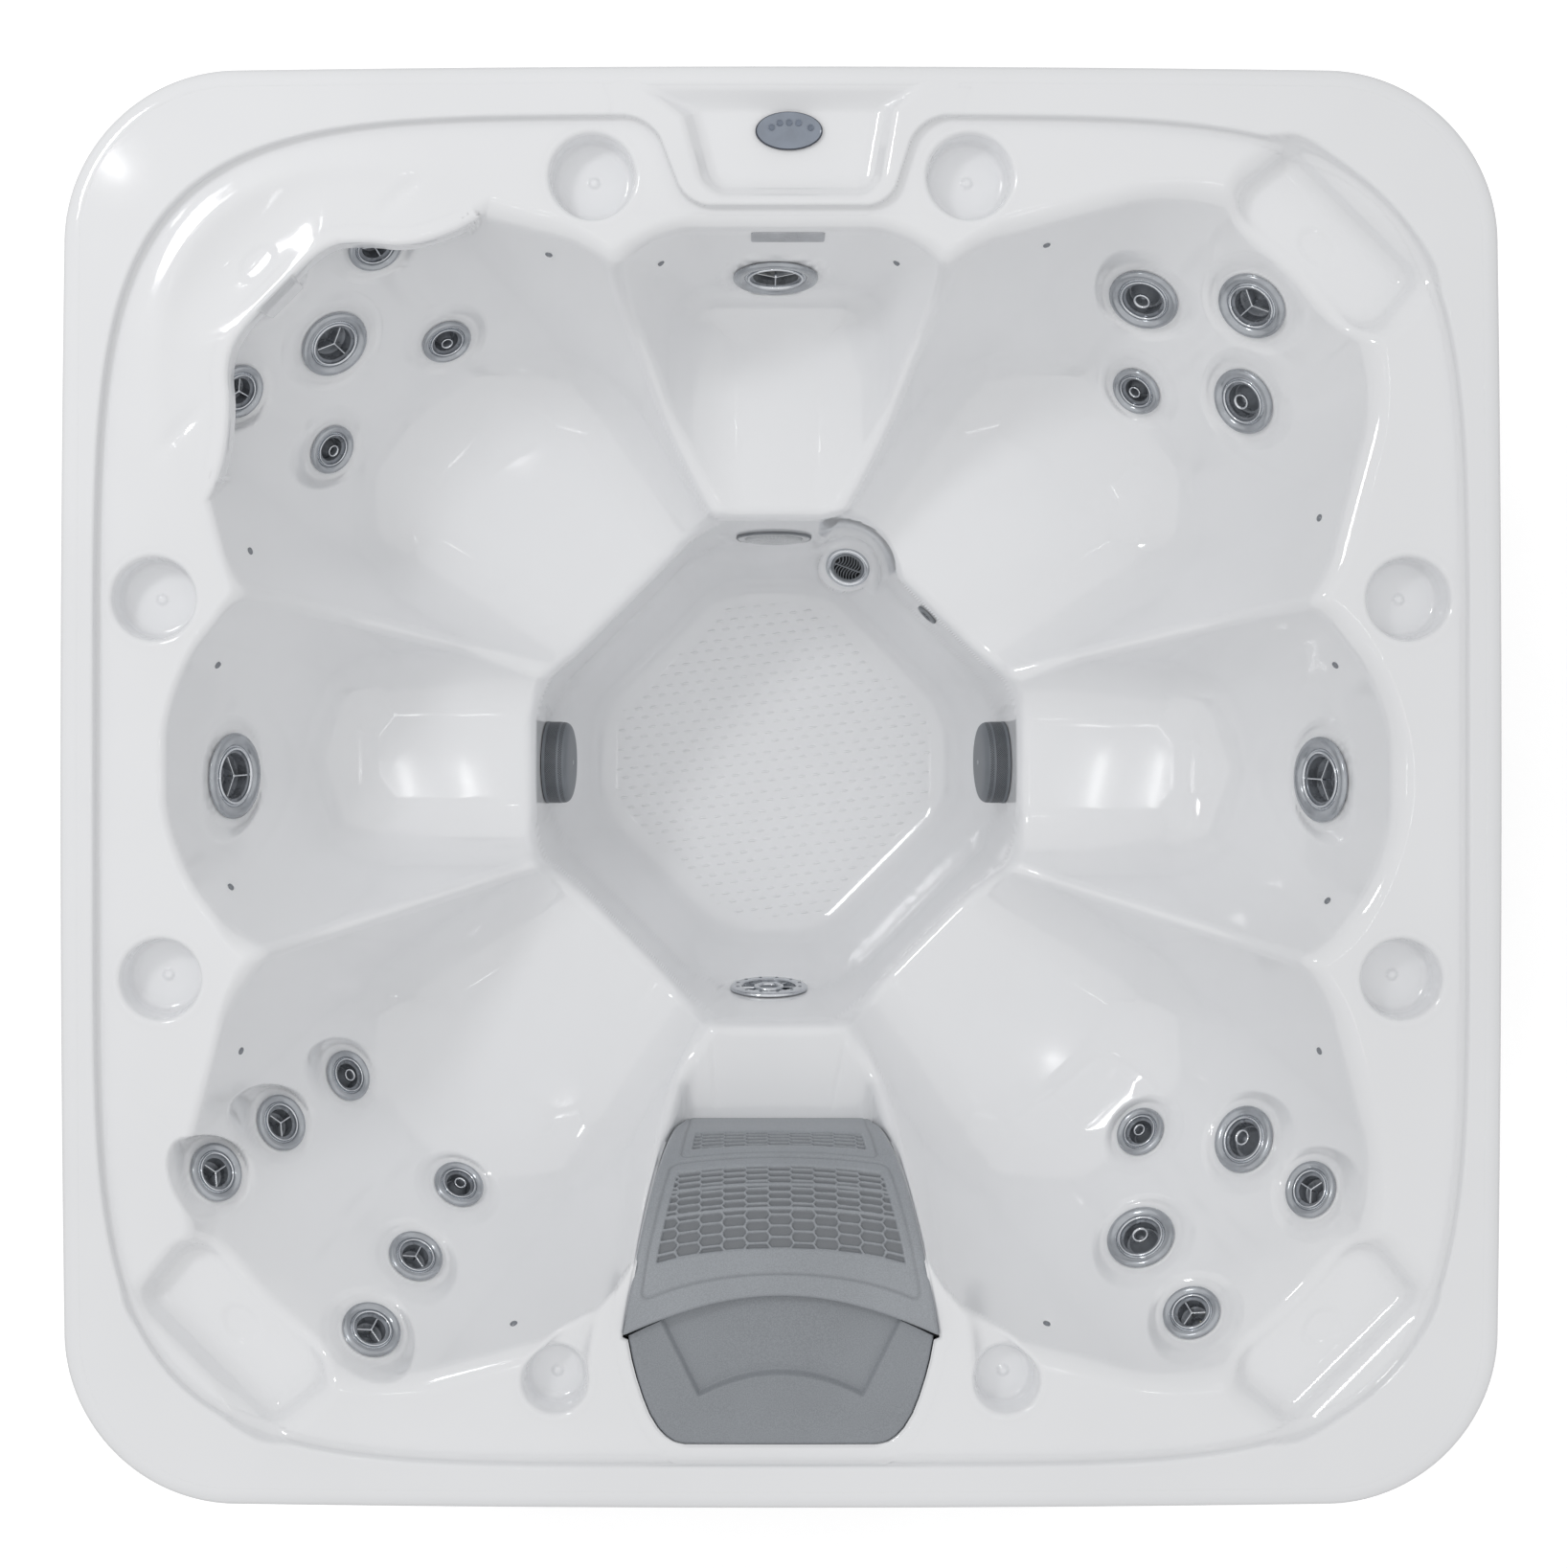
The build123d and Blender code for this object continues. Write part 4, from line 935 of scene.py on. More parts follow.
GROOVES = (
    Groove(((-868, 380), (-915, 500), (-926, 620), (-912, 740), (-849, 850), (-720, 915), (-600, 922),
            (-500, 905), (-400, 868)), 3.6, 22),
    Groove(((-930, 485), (-887, 534), (-850, 575)), -2.6, 13),
    Groove(((-601, 845), (-561, 882), (-530, 908)), -2.6, 13),
    Groove(((822, 172), (794, 90), (779, 1), (794, -81), (827, -163)), -1.5, 7),
    Groove(((822, 172), (859, 90), (874, 1), (859, -81), (827, -163)), -1.5, 7),
    Groove(((-828, 172), (-793, 90), (-778, 1), (-793, -81), (-825, -152)), -1.5, 7),
    Groove(((-828, 172), (-864, 90), (-879, 1), (-864, -81), (-825, -152)), -1.5, 7),
    Groove(((649, 678), (690, 586), (733, 509), (818, 447)), -1.4, 7),
    Groove(((645, 851), (670, 769), (727, 694), (817, 620)), -1.4, 7),
    Groove(((503, -504), (542, -474), (595, -489), (672, -566)), -1.4, 7),
    Groove(((385, -589), (478, -527), (540, -465)), -1.4, 7),
    Groove(((-961, -441), (-894, -531), (-841, -620), (-856, -710)), -1.4, 8),
    Groove(((-108, -430), (-98, -545)), -1.6, 4),
    Groove(((110, -430), (90, -545)), -1.6, 4),
)
DISHES = (
    Dish((-800, 778), (165, 78), 45, -14.0, 0.1), Dish((-778, 778), (36, 24), 45, -1.6),
    Dish((806, 806), (38, 26), -45, -2.6), Dish((-808, -808), (38, 26), -45, -2.6),
    Dish((812, -812), (38, 26), 45, -2.6),
)


# Finishes
def srgb(red: float, green: float, blue: float) -> tuple[float, float, float, float]:
    """A colour given as screen values from 0 to 255, as the renderer's linear values."""
    linear = [c / 12.92 if c <= 0.04045 else ((c + 0.055) / 1.055) ** 2.4
              for c in (red / 255, green / 255, blue / 255)]
    return (*linear, 1.0)


class NodeBench:
    """A node tree and short ways to add and join its nodes."""

    def __init__(self, tree: NodeTree) -> None:
        """Take a tree to work on."""
        self.tree = tree

    def add(self, kind: str, inputs: dict | None = None, **settings) -> Node:
        """Add a node.

        Args:
            kind: The node's type name.
            inputs: Input socket names or numbers, with a value or the socket that feeds each.
            settings: Settings of the node itself.

        Returns:
            The node.
        """
        node = self.tree.nodes.new(kind)
        for key, value in settings.items():
            setattr(node, key, value)
        for key, value in (inputs or {}).items():
            if isinstance(value, Socket):
                self.tree.links.new(value, node.inputs[key])
            else:
                node.inputs[key].default_value = value
        return node

    def math(self, operation: str, *values: float | Socket) -> Socket:
        """One arithmetic step on numbers or sockets."""
        node = self.add("ShaderNodeMath", dict(enumerate(values)), operation=operation)
        return node.outputs[0]

    def spread(self, value: Socket, low: float, high: float, to_low: float,
               to_high: float) -> Socket:
        """Carry a value from one range to another, smoothly and held at the ends."""
        node = self.add("ShaderNodeMapRange", {"Value": value, "From Min": low, "From Max": high,
                                               "To Min": to_low, "To Max": to_high},
                        interpolation_type="SMOOTHSTEP")
        return node.outputs["Result"]

    def blend(self, factor: Socket, first: tuple | Socket,
              second: tuple | Socket) -> Socket:
        """Mix two colours by a factor."""
        node = self.add("ShaderNodeMix", data_type="RGBA")
        for socket, value in ((node.inputs[0], factor), (node.inputs[6], first), (node.inputs[7], second)):
            if isinstance(value, Socket):
                self.tree.links.new(value, socket)
            else:
                socket.default_value = value
        return node.outputs[2]


def new_group(name: str, inputs: dict[str, float], outputs: Sequence[str]) -> tuple[NodeBench, dict, dict]:
    """A shader node group with named number inputs, a Vector input and named outputs.

    Args:
        name: Name of the group.
        inputs: Number inputs and their values.
        outputs: Number outputs.

    Returns:
        The bench, the input sockets by name, and the group's output node.
    """
    tree = bpy.data.node_groups.new(name, "ShaderNodeTree")
    tree.interface.new_socket("Vector", in_out="INPUT", socket_type="NodeSocketVector")
    for label, value in inputs.items():
        tree.interface.new_socket(label, in_out="INPUT", socket_type="NodeSocketFloat").default_value = value
    for label in outputs:
        tree.interface.new_socket(label, in_out="OUTPUT", socket_type="NodeSocketFloat")
    bench = NodeBench(tree)
    source, sink = tree.nodes.new("NodeGroupInput"), tree.nodes.new("NodeGroupOutput")
    return bench, {socket.name: socket for socket in source.outputs if socket.name}, sink


def grain_group() -> NodeTree:
    """Moulded grain: a fine noise, and a broad one for slow change over the surface."""
    bench, ins, sink = new_group("moulded_grain", {"Fine": 900.0, "Broad": 3.0}, ("Fine", "Broad", "Scuff"))
    fine = bench.add("ShaderNodeTexNoise", {"Vector": ins["Vector"], "Scale": ins["Fine"], "Detail": 3.0})
    broad = bench.add("ShaderNodeTexNoise", {"Vector": ins["Vector"], "Scale": ins["Broad"], "Detail": 4.0,
                                             "Roughness": 0.55})
    scuff = bench.add("ShaderNodeTexNoise", {"Vector": ins["Vector"], "Scale": 38.0, "Detail": 6.0,
                                             "Roughness": 0.7, "Distortion": 0.8})
    bench.tree.links.new(fine.outputs[0], sink.inputs["Fine"])
    bench.tree.links.new(broad.outputs[0], sink.inputs["Broad"])
    bench.tree.links.new(bench.spread(scuff.outputs[0], 0.56, 0.72, 0.0, 1.0), sink.inputs["Scuff"])
    return bench.tree


def lattice_group() -> NodeTree:
    """Diamond holes in a band: the two diagonal waves of the surface's own UV, in metres."""
    bench, ins, sink = new_group("lattice_holes", {"Pitch": 0.0062, "Low": 0.006, "High": 0.028},
                                 ("Hole", "Band"))
    parts = bench.add("ShaderNodeSeparateXYZ", {0: ins["Vector"]})
    u, v = parts.outputs[0], parts.outputs[1]
    turn = bench.math("DIVIDE", 2 * math.pi, ins["Pitch"])
    first = bench.math("SINE", bench.math("MULTIPLY", bench.math("ADD", u, v), turn))
    second = bench.math("SINE", bench.math("MULTIPLY", bench.math("SUBTRACT", u, v), turn))
    holes = bench.spread(bench.math("MINIMUM", bench.math("ABSOLUTE", first), bench.math("ABSOLUTE", second)),
                         0.42, 0.62, 0.0, 1.0)
    rise = bench.spread(v, ins["Low"], bench.math("ADD", ins["Low"], 0.001), 0.0, 1.0)
    fall = bench.spread(v, ins["High"], bench.math("ADD", ins["High"], 0.001), 1.0, 0.0)
    band = bench.math("MULTIPLY", rise, fall)
    bench.tree.links.new(bench.math("MULTIPLY", holes, band), sink.inputs["Hole"])
    bench.tree.links.new(band, sink.inputs["Band"])
    return bench.tree


GRAIN, LATTICE = grain_group(), lattice_group()


@dataclass(frozen=True)
class Finish:
    """A moulded, painted or cast finish with grain, slow colour change and uneven gloss."""

    name: str
    colour: tuple[float, float, float]
    roughness: float = 0.4
    metallic: float = 0.0
    coat: float = 0.0
    fine: float = 900.0
    broad: float = 3.0
    tint: float = 0.05
    speckle: float = 0.0
    gloss_spread: float = 0.06
    bump: float = 0.00004
    scuffs: float = 0.0
    specular: float = 0.5

    def tone(self, share: float) -> tuple[float, float, float, float]:
        """The finish's own colour, darker or lighter."""
        return srgb(*(min(255, value * share) for value in self.colour))

    def base(self, bench: NodeBench, group: Node) -> Socket:
        """The base colour: the finish's colour, a little darker and lighter over the surface."""
        slow = bench.spread(group.outputs["Broad"], 0.3, 0.7, 0.0, 1.0)
        colour = bench.blend(slow, self.tone(1 - self.tint), self.tone(1 + self.tint))
        if self.speckle:
            fleck = bench.spread(group.outputs["Fine"], 0.35, 0.65, 0.0, self.speckle)
            colour = bench.blend(fleck, colour, self.tone(1.35))
        return colour

    def look(self, bench: NodeBench, group: Node) -> tuple[Socket, Socket, float]:
        """The colour, the relief and the relief's depth in metres."""
        return self.base(bench, group), group.outputs["Fine"], self.bump

    def build(self) -> Material:
        """The finished material: plain values, colour, uneven roughness and bump on its shader."""
        material = bpy.data.materials.new(self.name)
        material.use_nodes = True
        bench = NodeBench(material.node_tree)
        shader = material.node_tree.nodes["Principled BSDF"]
        for socket, value in (("Metallic", self.metallic), ("Coat Weight", self.coat),
                              ("Coat Roughness", 0.05), ("Specular IOR Level", self.specular)):
            shader.inputs[socket].default_value = value
        coordinates = bench.add("ShaderNodeTexCoord")
        group = bench.add("ShaderNodeGroup", {"Vector": coordinates.outputs["Object"], "Fine": self.fine,
                                              "Broad": self.broad}, node_tree=GRAIN)
        colour, relief, depth = self.look(bench, group)
        rough = bench.spread(group.outputs["Broad"], 0.3, 0.7, self.roughness - self.gloss_spread / 2,
                             self.roughness + self.gloss_spread / 2)
        if self.scuffs:
            rough = bench.math("ADD", rough, bench.math("MULTIPLY", group.outputs["Scuff"], self.scuffs))
        bump = bench.add("ShaderNodeBump", {"Height": relief, "Strength": 1.0, "Distance": depth})
        for socket, source in (("Base Color", colour), ("Roughness", rough), ("Normal", bump.outputs[0])):
            bench.tree.links.new(source, shader.inputs[socket])
        return material


@dataclass(frozen=True)
class Lattice(Finish):
    """A moulded grey plastic with a band of diamond holes and two rows of dots, with painted shade in them.
    """

    def look(self, bench: NodeBench, group: Node) -> tuple[Socket, Socket, float]:
        """Holes and dots that are sunk and darkened with painted shade, and follow the piece's own UV map."""
        place = bench.add("ShaderNodeUVMap", uv_map="surface").outputs[0]
        holes, dots = (bench.add("ShaderNodeGroup", {"Vector": place, "Pitch": pitch, "Low": low,
                                                     "High": high}, node_tree=LATTICE).outputs["Hole"]
                       for pitch, low, high in ((0.0072, 0.0755, 0.0945), (0.0085, 0.0985, 0.1045)))
        mask = bench.math("MAXIMUM", holes, bench.math("MULTIPLY", dots, 0.8))
        # Painted shade: the holes and dots take a near-black colour
        colour = bench.blend(mask, self.base(bench, group), srgb(40, 43, 48))
        return colour, bench.math("SUBTRACT", 1.0, mask), 0.0012


@dataclass(frozen=True)
class Celled(Finish):
    """A moulded grey plastic with painted shade: its cell floors and frame grooves, marked by the mesh's
    shade attribute, are darker.
    """

    def look(self, bench: NodeBench, group: Node) -> tuple[Socket, Socket, float]:
        """The colour falls to a darker one with the shade attribute, as painted shade in the cells and
        grooves; the relief is the grain.
        """
        shade = bench.add("ShaderNodeAttribute", attribute_name="shade")
        depth = bench.math("MULTIPLY", shade.outputs["Fac"], 0.85)
        # Painted shade: cell floors and frame grooves darkened in colour
        colour = bench.blend(depth, self.base(bench, group), self.tone(0.78))
        return colour, group.outputs["Fine"], self.bump


@dataclass(frozen=True)
class Boards(Finish):
    """Cabinet cladding: level boards with a narrow joint and a brushed grain along each."""

    pitch: float = 0.138

    def look(self, bench: NodeBench, group: Node) -> tuple[Socket, Socket, float]:
        """The colour, relief and its depth, on object coordinates."""
        coordinates = bench.add("ShaderNodeTexCoord")
        parts = bench.add("ShaderNodeSeparateXYZ", {0: coordinates.outputs["Object"]})
        level = bench.math("DIVIDE", parts.outputs[2], self.pitch)
        place = bench.math("ABSOLUTE", bench.math("SUBTRACT", bench.math("FRACT", level), 0.5))
        joint = bench.spread(place, 0.478, 0.492, 0.0, 1.0)
        board = bench.math("FLOOR", level)
        stretched = bench.add("ShaderNodeMapping", {"Vector": coordinates.outputs["Object"],
                                                    "Scale": (3.0, 3.0, 90.0)})
        grain = bench.add("ShaderNodeTexNoise", {"Vector": stretched.outputs[0], "Scale": 2.2, "Detail": 8.0,
                                                 "Roughness": 0.62})
        shade = bench.add("ShaderNodeTexWhiteNoise", {"W": board}, noise_dimensions="1D")
        streaks = bench.spread(grain.outputs[0], 0.35, 0.68, 0.0, 1.0)
        colour = bench.blend(streaks, self.tone(0.8), self.tone(1))
        share = bench.math("MULTIPLY", shade.outputs["Value"], 0.16)
        colour = bench.blend(share, colour, self.tone(0.62))
        colour = bench.blend(joint, colour, srgb(26, 27, 29))
        height = bench.math("SUBTRACT", bench.math("MULTIPLY", grain.outputs[0], 0.12), joint)
        return colour, height, 0.0025


@dataclass(frozen=True)
class Timber(Finish):
    """Sawn softwood: stretched rings along the board, with darker late wood."""

    def look(self, bench: NodeBench, group: Node) -> tuple[Socket, Socket, float]:
        """The colour, relief and its depth, on object coordinates."""
        coordinates = bench.add("ShaderNodeTexCoord")
        stretched = bench.add("ShaderNodeMapping", {"Vector": coordinates.outputs["Object"],
                                                    "Scale": (26.0, 26.0, 1.6)})
        rings = bench.add("ShaderNodeTexNoise", {"Vector": stretched.outputs[0], "Scale": 1.6, "Detail": 5.0,
                                                 "Distortion": 1.2})
        mask = bench.spread(rings.outputs[0], 0.38, 0.62, 0.0, 1.0)
        return bench.blend(mask, self.tone(0.74), self.tone(1)), rings.outputs[0], 0.0006


@dataclass(frozen=True)
class Lens(Finish):
    """A clear ribbed lens over a pale lamp: frosted, with rings about its own middle, darkened along the
    rings as painted shade.
    """

    def look(self, bench: NodeBench, group: Node) -> tuple[Socket, Socket, float]:
        """Rings and ribs from the piece's UV map, with painted shade along the rings."""
        place = bench.add("ShaderNodeUVMap", uv_map="surface")
        parts = bench.add("ShaderNodeSeparateXYZ", {0: place.outputs[0]})
        rings = bench.math("SINE", bench.math("MULTIPLY", parts.outputs[1], 1500.0))
        ribs = bench.math("SINE", bench.math("MULTIPLY", parts.outputs[0], 900.0))
        relief = bench.math("ADD", rings, bench.math("MULTIPLY", ribs, 0.6))
        # Painted shade: the colour darkens along the rings
        shade = bench.spread(rings, -1.0, 1.0, 0.0, 0.22)
        return bench.blend(shade, self.base(bench, group), self.tone(0.8)), relief, 0.0004


class Finishes:
    """Every finish of the tub, each built once."""

    def __init__(self) -> None:
        """Build the materials."""
        self.acrylic = Finish("acrylic", (242, 243, 245), 0.08, coat=0.6, fine=1400, broad=1.4, tint=0.008,
                              gloss_spread=0.04, bump=0.00001).build()
        self.under = Finish("shell_back", (176, 170, 150), 0.7, fine=300, broad=6, tint=0.08,
                            speckle=0.3, bump=0.0006).build()
        self.bezel = Finish("smoked_bezel", (166, 170, 175), 0.17, metallic=0.6, coat=0.5, fine=1200,
                            broad=30, scuffs=0.05).build()
        self.chrome = Finish("chrome", (205, 208, 212), 0.09, metallic=1.0, broad=40, tint=0.03,
                             gloss_spread=0.05, bump=0.00001, scuffs=0.06).build()
        self.bore = Finish("dark_bore", (128, 132, 138), 0.28, metallic=0.3, fine=800, broad=50, tint=0.12,
                           scuffs=0.1).build()
        self.suction = Lattice("suction_grille", (116, 121, 127), 0.42, fine=1200, broad=18,
                               tint=0.04).build()
        self.lens = Lens("lamp_lens", (196, 199, 202), 0.2, coat=0.8, broad=14, tint=0.03).build()
        self.grey = Finish("fitting_grey", (126, 130, 135), 0.38, fine=1100, broad=20).build()
        # Black moulding for real black parts, and painted shade in the return's slots and the ozone outlet's
        # throat
        self.dark = Finish("black_moulding_and_hole_shade", (34, 36, 40), 0.45, broad=16, tint=0.12).build()
        moulded = {"fine": 620, "broad": 5, "speckle": 0.22, "bump": 0.00018, "scuffs": 0.05}
        self.filter_grey = Finish("filter_housing_grey", (141, 145, 149), 0.44, tint=0.02, **moulded).build()
        # The cowl's finish darkens its cell floors and grooves with painted shade
        self.cowl = Celled("filter_cowl_grey", (151, 155, 160), 0.42, tint=0.02, **moulded).build()
        self.lid_grey = Finish("filter_lid_grey", (138, 142, 147), 0.46, tint=0.025, **moulded).build()
        self.panel = Finish("panel_case", (130, 139, 153), 0.22, coat=1.0, fine=1100, broad=16, tint=0.06,
                            bump=0.00002).build()
        self.panel_edge = Finish("panel_edge", (44, 50, 64), 0.3, broad=20, tint=0.08).build()
        self.key = Finish("key_caps", (117, 126, 141), 0.3, fine=1200, broad=60).build()
        self.plate = Finish("plate", (176, 178, 182), 0.3, metallic=0.7, fine=500, broad=24,
                            scuffs=0.1).build()
        self.cap = Finish("light_caps", (118, 123, 130), 0.12, coat=1.0, broad=60, tint=0.03).build()
        self.media = Finish("filter_media", (226, 228, 226), 0.85, fine=1400, broad=12, tint=0.06,
                            bump=0.0003).build()
        self.black_base = Finish("base_black", (38, 39, 41), 0.6, fine=260, broad=8, tint=0.12, speckle=0.2,
                                 bump=0.0003).build()
        self.pvc = Finish("white_pvc", (224, 225, 224), 0.35, broad=12, tint=0.03).build()
        self.steel = Finish("heater_steel", (178, 181, 184), 0.3, metallic=1.0, fine=700, broad=14,
                            gloss_spread=0.14, scuffs=0.12).build()
        self.motor = Finish("motor_paint", (72, 76, 82), 0.42, fine=500, broad=14, tint=0.08,
                            bump=0.00012, scuffs=0.12).build()
        self.pump = Finish("pump_black", (30, 31, 33), 0.4, fine=700, broad=12, tint=0.14,
                           bump=0.0001).build()
        self.box = Finish("box_paint", (150, 153, 157), 0.48, fine=420, broad=6, tint=0.04, bump=0.00015,
                          scuffs=0.08).build()
        self.screw = Finish("screws", (168, 170, 173), 0.32, metallic=1.0, fine=800, broad=60, tint=0.06,
                            scuffs=0.16).build()
        self.timber = Timber("frame_timber", (188, 156, 112), 0.72, fine=500, broad=5).build()
        self.boards = Boards("cabinet_boards", (118, 120, 124), 0.56, fine=600, broad=4).build()


# The shell
@dataclass
class Shell:
    """The moulded acrylic shell as a fine height grid with finer patches where forms are small."""

    half: float = 1012.0
    cells: int = 600
    tray_low: tuple[float, float] = (-272.0, 846.0)
    tray_high: tuple[float, float] = (282.0, 1041.0)
    tuck: float = 0.15
    lip_rows: int = 12
    bay_cut: float = 90.0
    bay_reach: float = 96.0
    strip_cut: float = 21.0
    strip_front: float = -577.0
    set_back: float = 4.5
    cup_clear: float = 13.0
    bore_share: float = 0.64

    def build(self, finishes: Finishes) -> None:
        """Build the shell's pieces."""
        dress, slot = [finishes.acrylic], "acrylic"
        band, ends = self.collar_band()
        add_piece("shell_collar", [band], dress, sharp=None)
        count = self.cells
        points, normals, keep = self.grid(count, ends)
        middle = count // 2
        for name, row, column in (("front_left", 0, 0), ("front_right", 0, middle),
                                  ("back_left", middle, 0), ("back_right", middle, middle)):
            part = slice(row, row + middle + 1), slice(column, column + middle + 1)
            cells = keep[row:row + middle, column:column + middle]
            add_piece(f"shell_{name}", [Sheet(points[part], normals[part], cells)], dress, sharp=None,
                      merge=False, stands_for=("shell",) if name == "front_left" else ())
        patches = {"cups": [self.cup_patch(cup) for cup in CUPS], "tray": [self.tray_patch()],
                   "return_bay": [self.return_patch()], "rim": [self.rim_patch()],
                   "filter_bay": [self.filter_strip()], "edge": [self.edge()]}
        for name, sheets in patches.items():
            add_piece(f"shell_{name}", sheets, dress, sharp=60 if name == "filter_bay" else None)
        add_piece("shell_back", [self.backing()], [finishes.under], sharp=None, merge=False)
        add_piece("footwell_pips", [self.pips()], dress, sharp=None)

    def jet_cells(self, x: Array, y: Array, share: float = bore_share) -> Array:
        """Which plan points lie in a jet's bore or in the return's."""
        bore = RETURN.bore * share / self.bore_share
        covered = np.hypot(x - RETURN.place[0], (y - RETURN.place[1]) / 0.83) < bore
        for jet in JETS:
            away, _, _ = jet.on_wall(x, y)
            covered |= away < share * jet.diameter / 2
        return covered

    def clear_of_cups(self, x: Array, y: Array) -> Array:
        """Which plan points lie outside every cup holder's patch."""
        return cup_gap(x, y) > self.cup_clear

    def grid(self, count: int, ends: tuple[float, float]) -> tuple[Array, Array, Array]:
        """The height grid inside the rim's step, and which cells of it are kept.

        Args:
            count: Cells each way.
            ends: Shares of the collar's edge between which its band covers the grid.

        Returns:
            Points, normals and the kept cells.
        """
        line = np.linspace(-self.half, self.half, count + 1)
        x, y = np.meshgrid(line, line)
        points, normals = surface(x, y)
        cx, cy = centres(x), centres(y)
        keep = STEP.distance(cx, cy) < -10
        keep &= ~((cx > self.tray_low[0] + 5) & (cx < self.tray_high[0] - 5) & (cy > self.tray_low[1] + 5))
        keep &= self.clear_of_cups(cx, cy)
        keep &= np.hypot(cx - RETURN.bay[0], cy - RETURN.bay[1]) > self.bay_cut
        away, share = line_distance(cx, cy, COLLAR.line())
        side = COLLAR.distance(cx, cy)
        keep &= ~(self.jet_cells(cx, cy) & (side < 0))
        near = (np.abs(cx) < 300) & (cy < -574)
        apart, _ = line_distance(cx[near], cy[near], FILTER.path()[::3])
        inside = FILTER.outside(cx[near], cy[near]) < -3
        keep[near] &= (apart > self.strip_cut) | (cy[near] > self.strip_front) | inside
        covered = (side > -8) & (side < 26) & (away < 40) & (share > ends[0]) & (share < ends[1])
        return points, normals, keep & ~covered

    def collar_band(self) -> tuple[Sheet, tuple[float, float]]:
        """The collar's nose and underside, carried along its edge.

        Each section climbs the seat's wall from before the edge to the underside, comes back under
        the collar to its edge, and goes up its nose on to the deck. Its corners are cut round.

        Returns:
            The band, and the shares of the edge's length where it starts and ends.
        """
        raw = COLLAR.line()
        run = np.concatenate([[0], np.cumsum(np.hypot(*np.diff(raw, axis=0).T))])
        place = np.linspace(0, run[-1], 260)
        edge = np.stack([np.interp(place, run, raw[:, 0]), np.interp(place, run, raw[:, 1])], -1)
        outward = side_normals(edge)
        outward *= np.sign(np.median(COLLAR.distance(*(edge + 4 * outward).T)))
        reach = np.arange(-16, 121, 4.0)
        spots = edge[None] + reach[:, None, None] * outward[None]
        low = AirField(spots[..., 0], spots[..., 1], collar=False).height()
        start = int(np.argmin(np.abs(reach)))
        over = low[start:] >= COLLAR.underside
        deep = np.where(over.any(0), reach[start:][np.argmax(over, 0)], reach[-1])
        cover = np.nonzero((deep > 3) & (cup_gap(*edge.T) >= 24))[0]
        pick = slice(cover[0], cover[-1] + 1)
        deep, low, edge, outward = deep[pick], low[:, pick], edge[pick], outward[pick]
        rise = np.array([0.8, 3, 6, 10, 14, 18, 22, 27, 32])
        tops = edge[None] + rise[:, None, None] * outward[None]
        top = AirField(tops[..., 0], tops[..., 1]).height()
        under = np.clip(np.minimum(COLLAR.underside, top[0] - 2), low[start] + 0.5, None)
        share = place[pick] / run[-1]
        along = (share - share[0]) / np.ptp(share)
        ledge = 1 - 0.9 * ease(along, 0.38, 0.45) * (1 - ease(along, 0.55, 0.62))
        deep = np.maximum(deep * ledge - 1, 0.2)
        sections = []
        for part in np.linspace(0, 1, 12):
            t = -14 + (deep + 14) * part
            row = (t - reach[0]) / (reach[1] - reach[0])
            below = np.clip(row.astype(int), 0, len(reach) - 2)
            columns = np.arange(len(t))
            z = low[below, columns] + (row - below) * (low[below + 1, columns] - low[below, columns])
            sections.append((t, z - self.tuck * (1 - ease(t, -9, -2))))
        t_last, z_last = sections[-1]
        climb = np.maximum(under - z_last, 0)
        at_edge = t_last * 0
        sections += [(t_last, z_last + climb * 0.5), (t_last, under), (t_last * 0.9, under),
                     (t_last * 0.5, under), (np.minimum(t_last * 0.5, 9), under), (at_edge, under),
                     (at_edge, under + np.minimum((top[0] - under) * 0.5, 9)), (at_edge, top[0])]
        sections += [(at_edge + reach_up, height - self.tuck * ease(reach_up, 17, 24))
                     for reach_up, height in zip(rise[1:], top[1:])]
        t, z = (np.stack(values) for values in zip(*sections))
        points = np.concatenate([edge[None] + t[..., None] * outward[None], z[..., None]], -1)
        flat = soften(points.reshape(len(points), -1), 2)
        points = flat.reshape(len(flat), -1, 3)
        middle = centres(points)
        keep = ~(self.jet_cells(middle[..., 0], middle[..., 1]) & (middle[..., 2] < COLLAR.underside - 12))
        return Sheet(points, keep=keep, flipped=True), (share[0] + 0.012, share[-1] - 0.012)

    def cup_patch(self, cup: Cup) -> Sheet:
        """A round patch of the height surface over a cup holder: rings about the cup's middle."""
        ring = np.concatenate([np.linspace(0, cup.radius - 22, 20),
                               np.linspace(cup.radius - 20, cup.radius + 19, 34)])[:, None]
        angle = np.linspace(0, 2 * np.pi, 113)
        points, normals = surface(cup.x + ring * np.cos(angle), cup.y + ring * np.sin(angle))
        points[..., 2] -= self.tuck * ease(ring, cup.radius + 6, cup.radius + self.cup_clear)
        return Sheet(points, normals, flipped=True)

    def return_patch(self) -> Sheet:
        """A round patch of the height surface over the return's bay in the footwell's wall."""
        ring = np.linspace(0, self.bay_reach, 66)[:, None]
        angle = np.linspace(0, 2 * np.pi, 241)
        points, normals = surface(RETURN.bay[0] + ring * np.cos(angle), RETURN.bay[1] + ring * np.sin(angle))
        points -= normals * (self.tuck * ease(ring, self.bay_cut - 6, self.bay_cut - 2))[..., None]
        x, y = centres(points[..., 0]), centres(points[..., 1])
        return Sheet(points, normals, ~self.jet_cells(x, y), flipped=True)

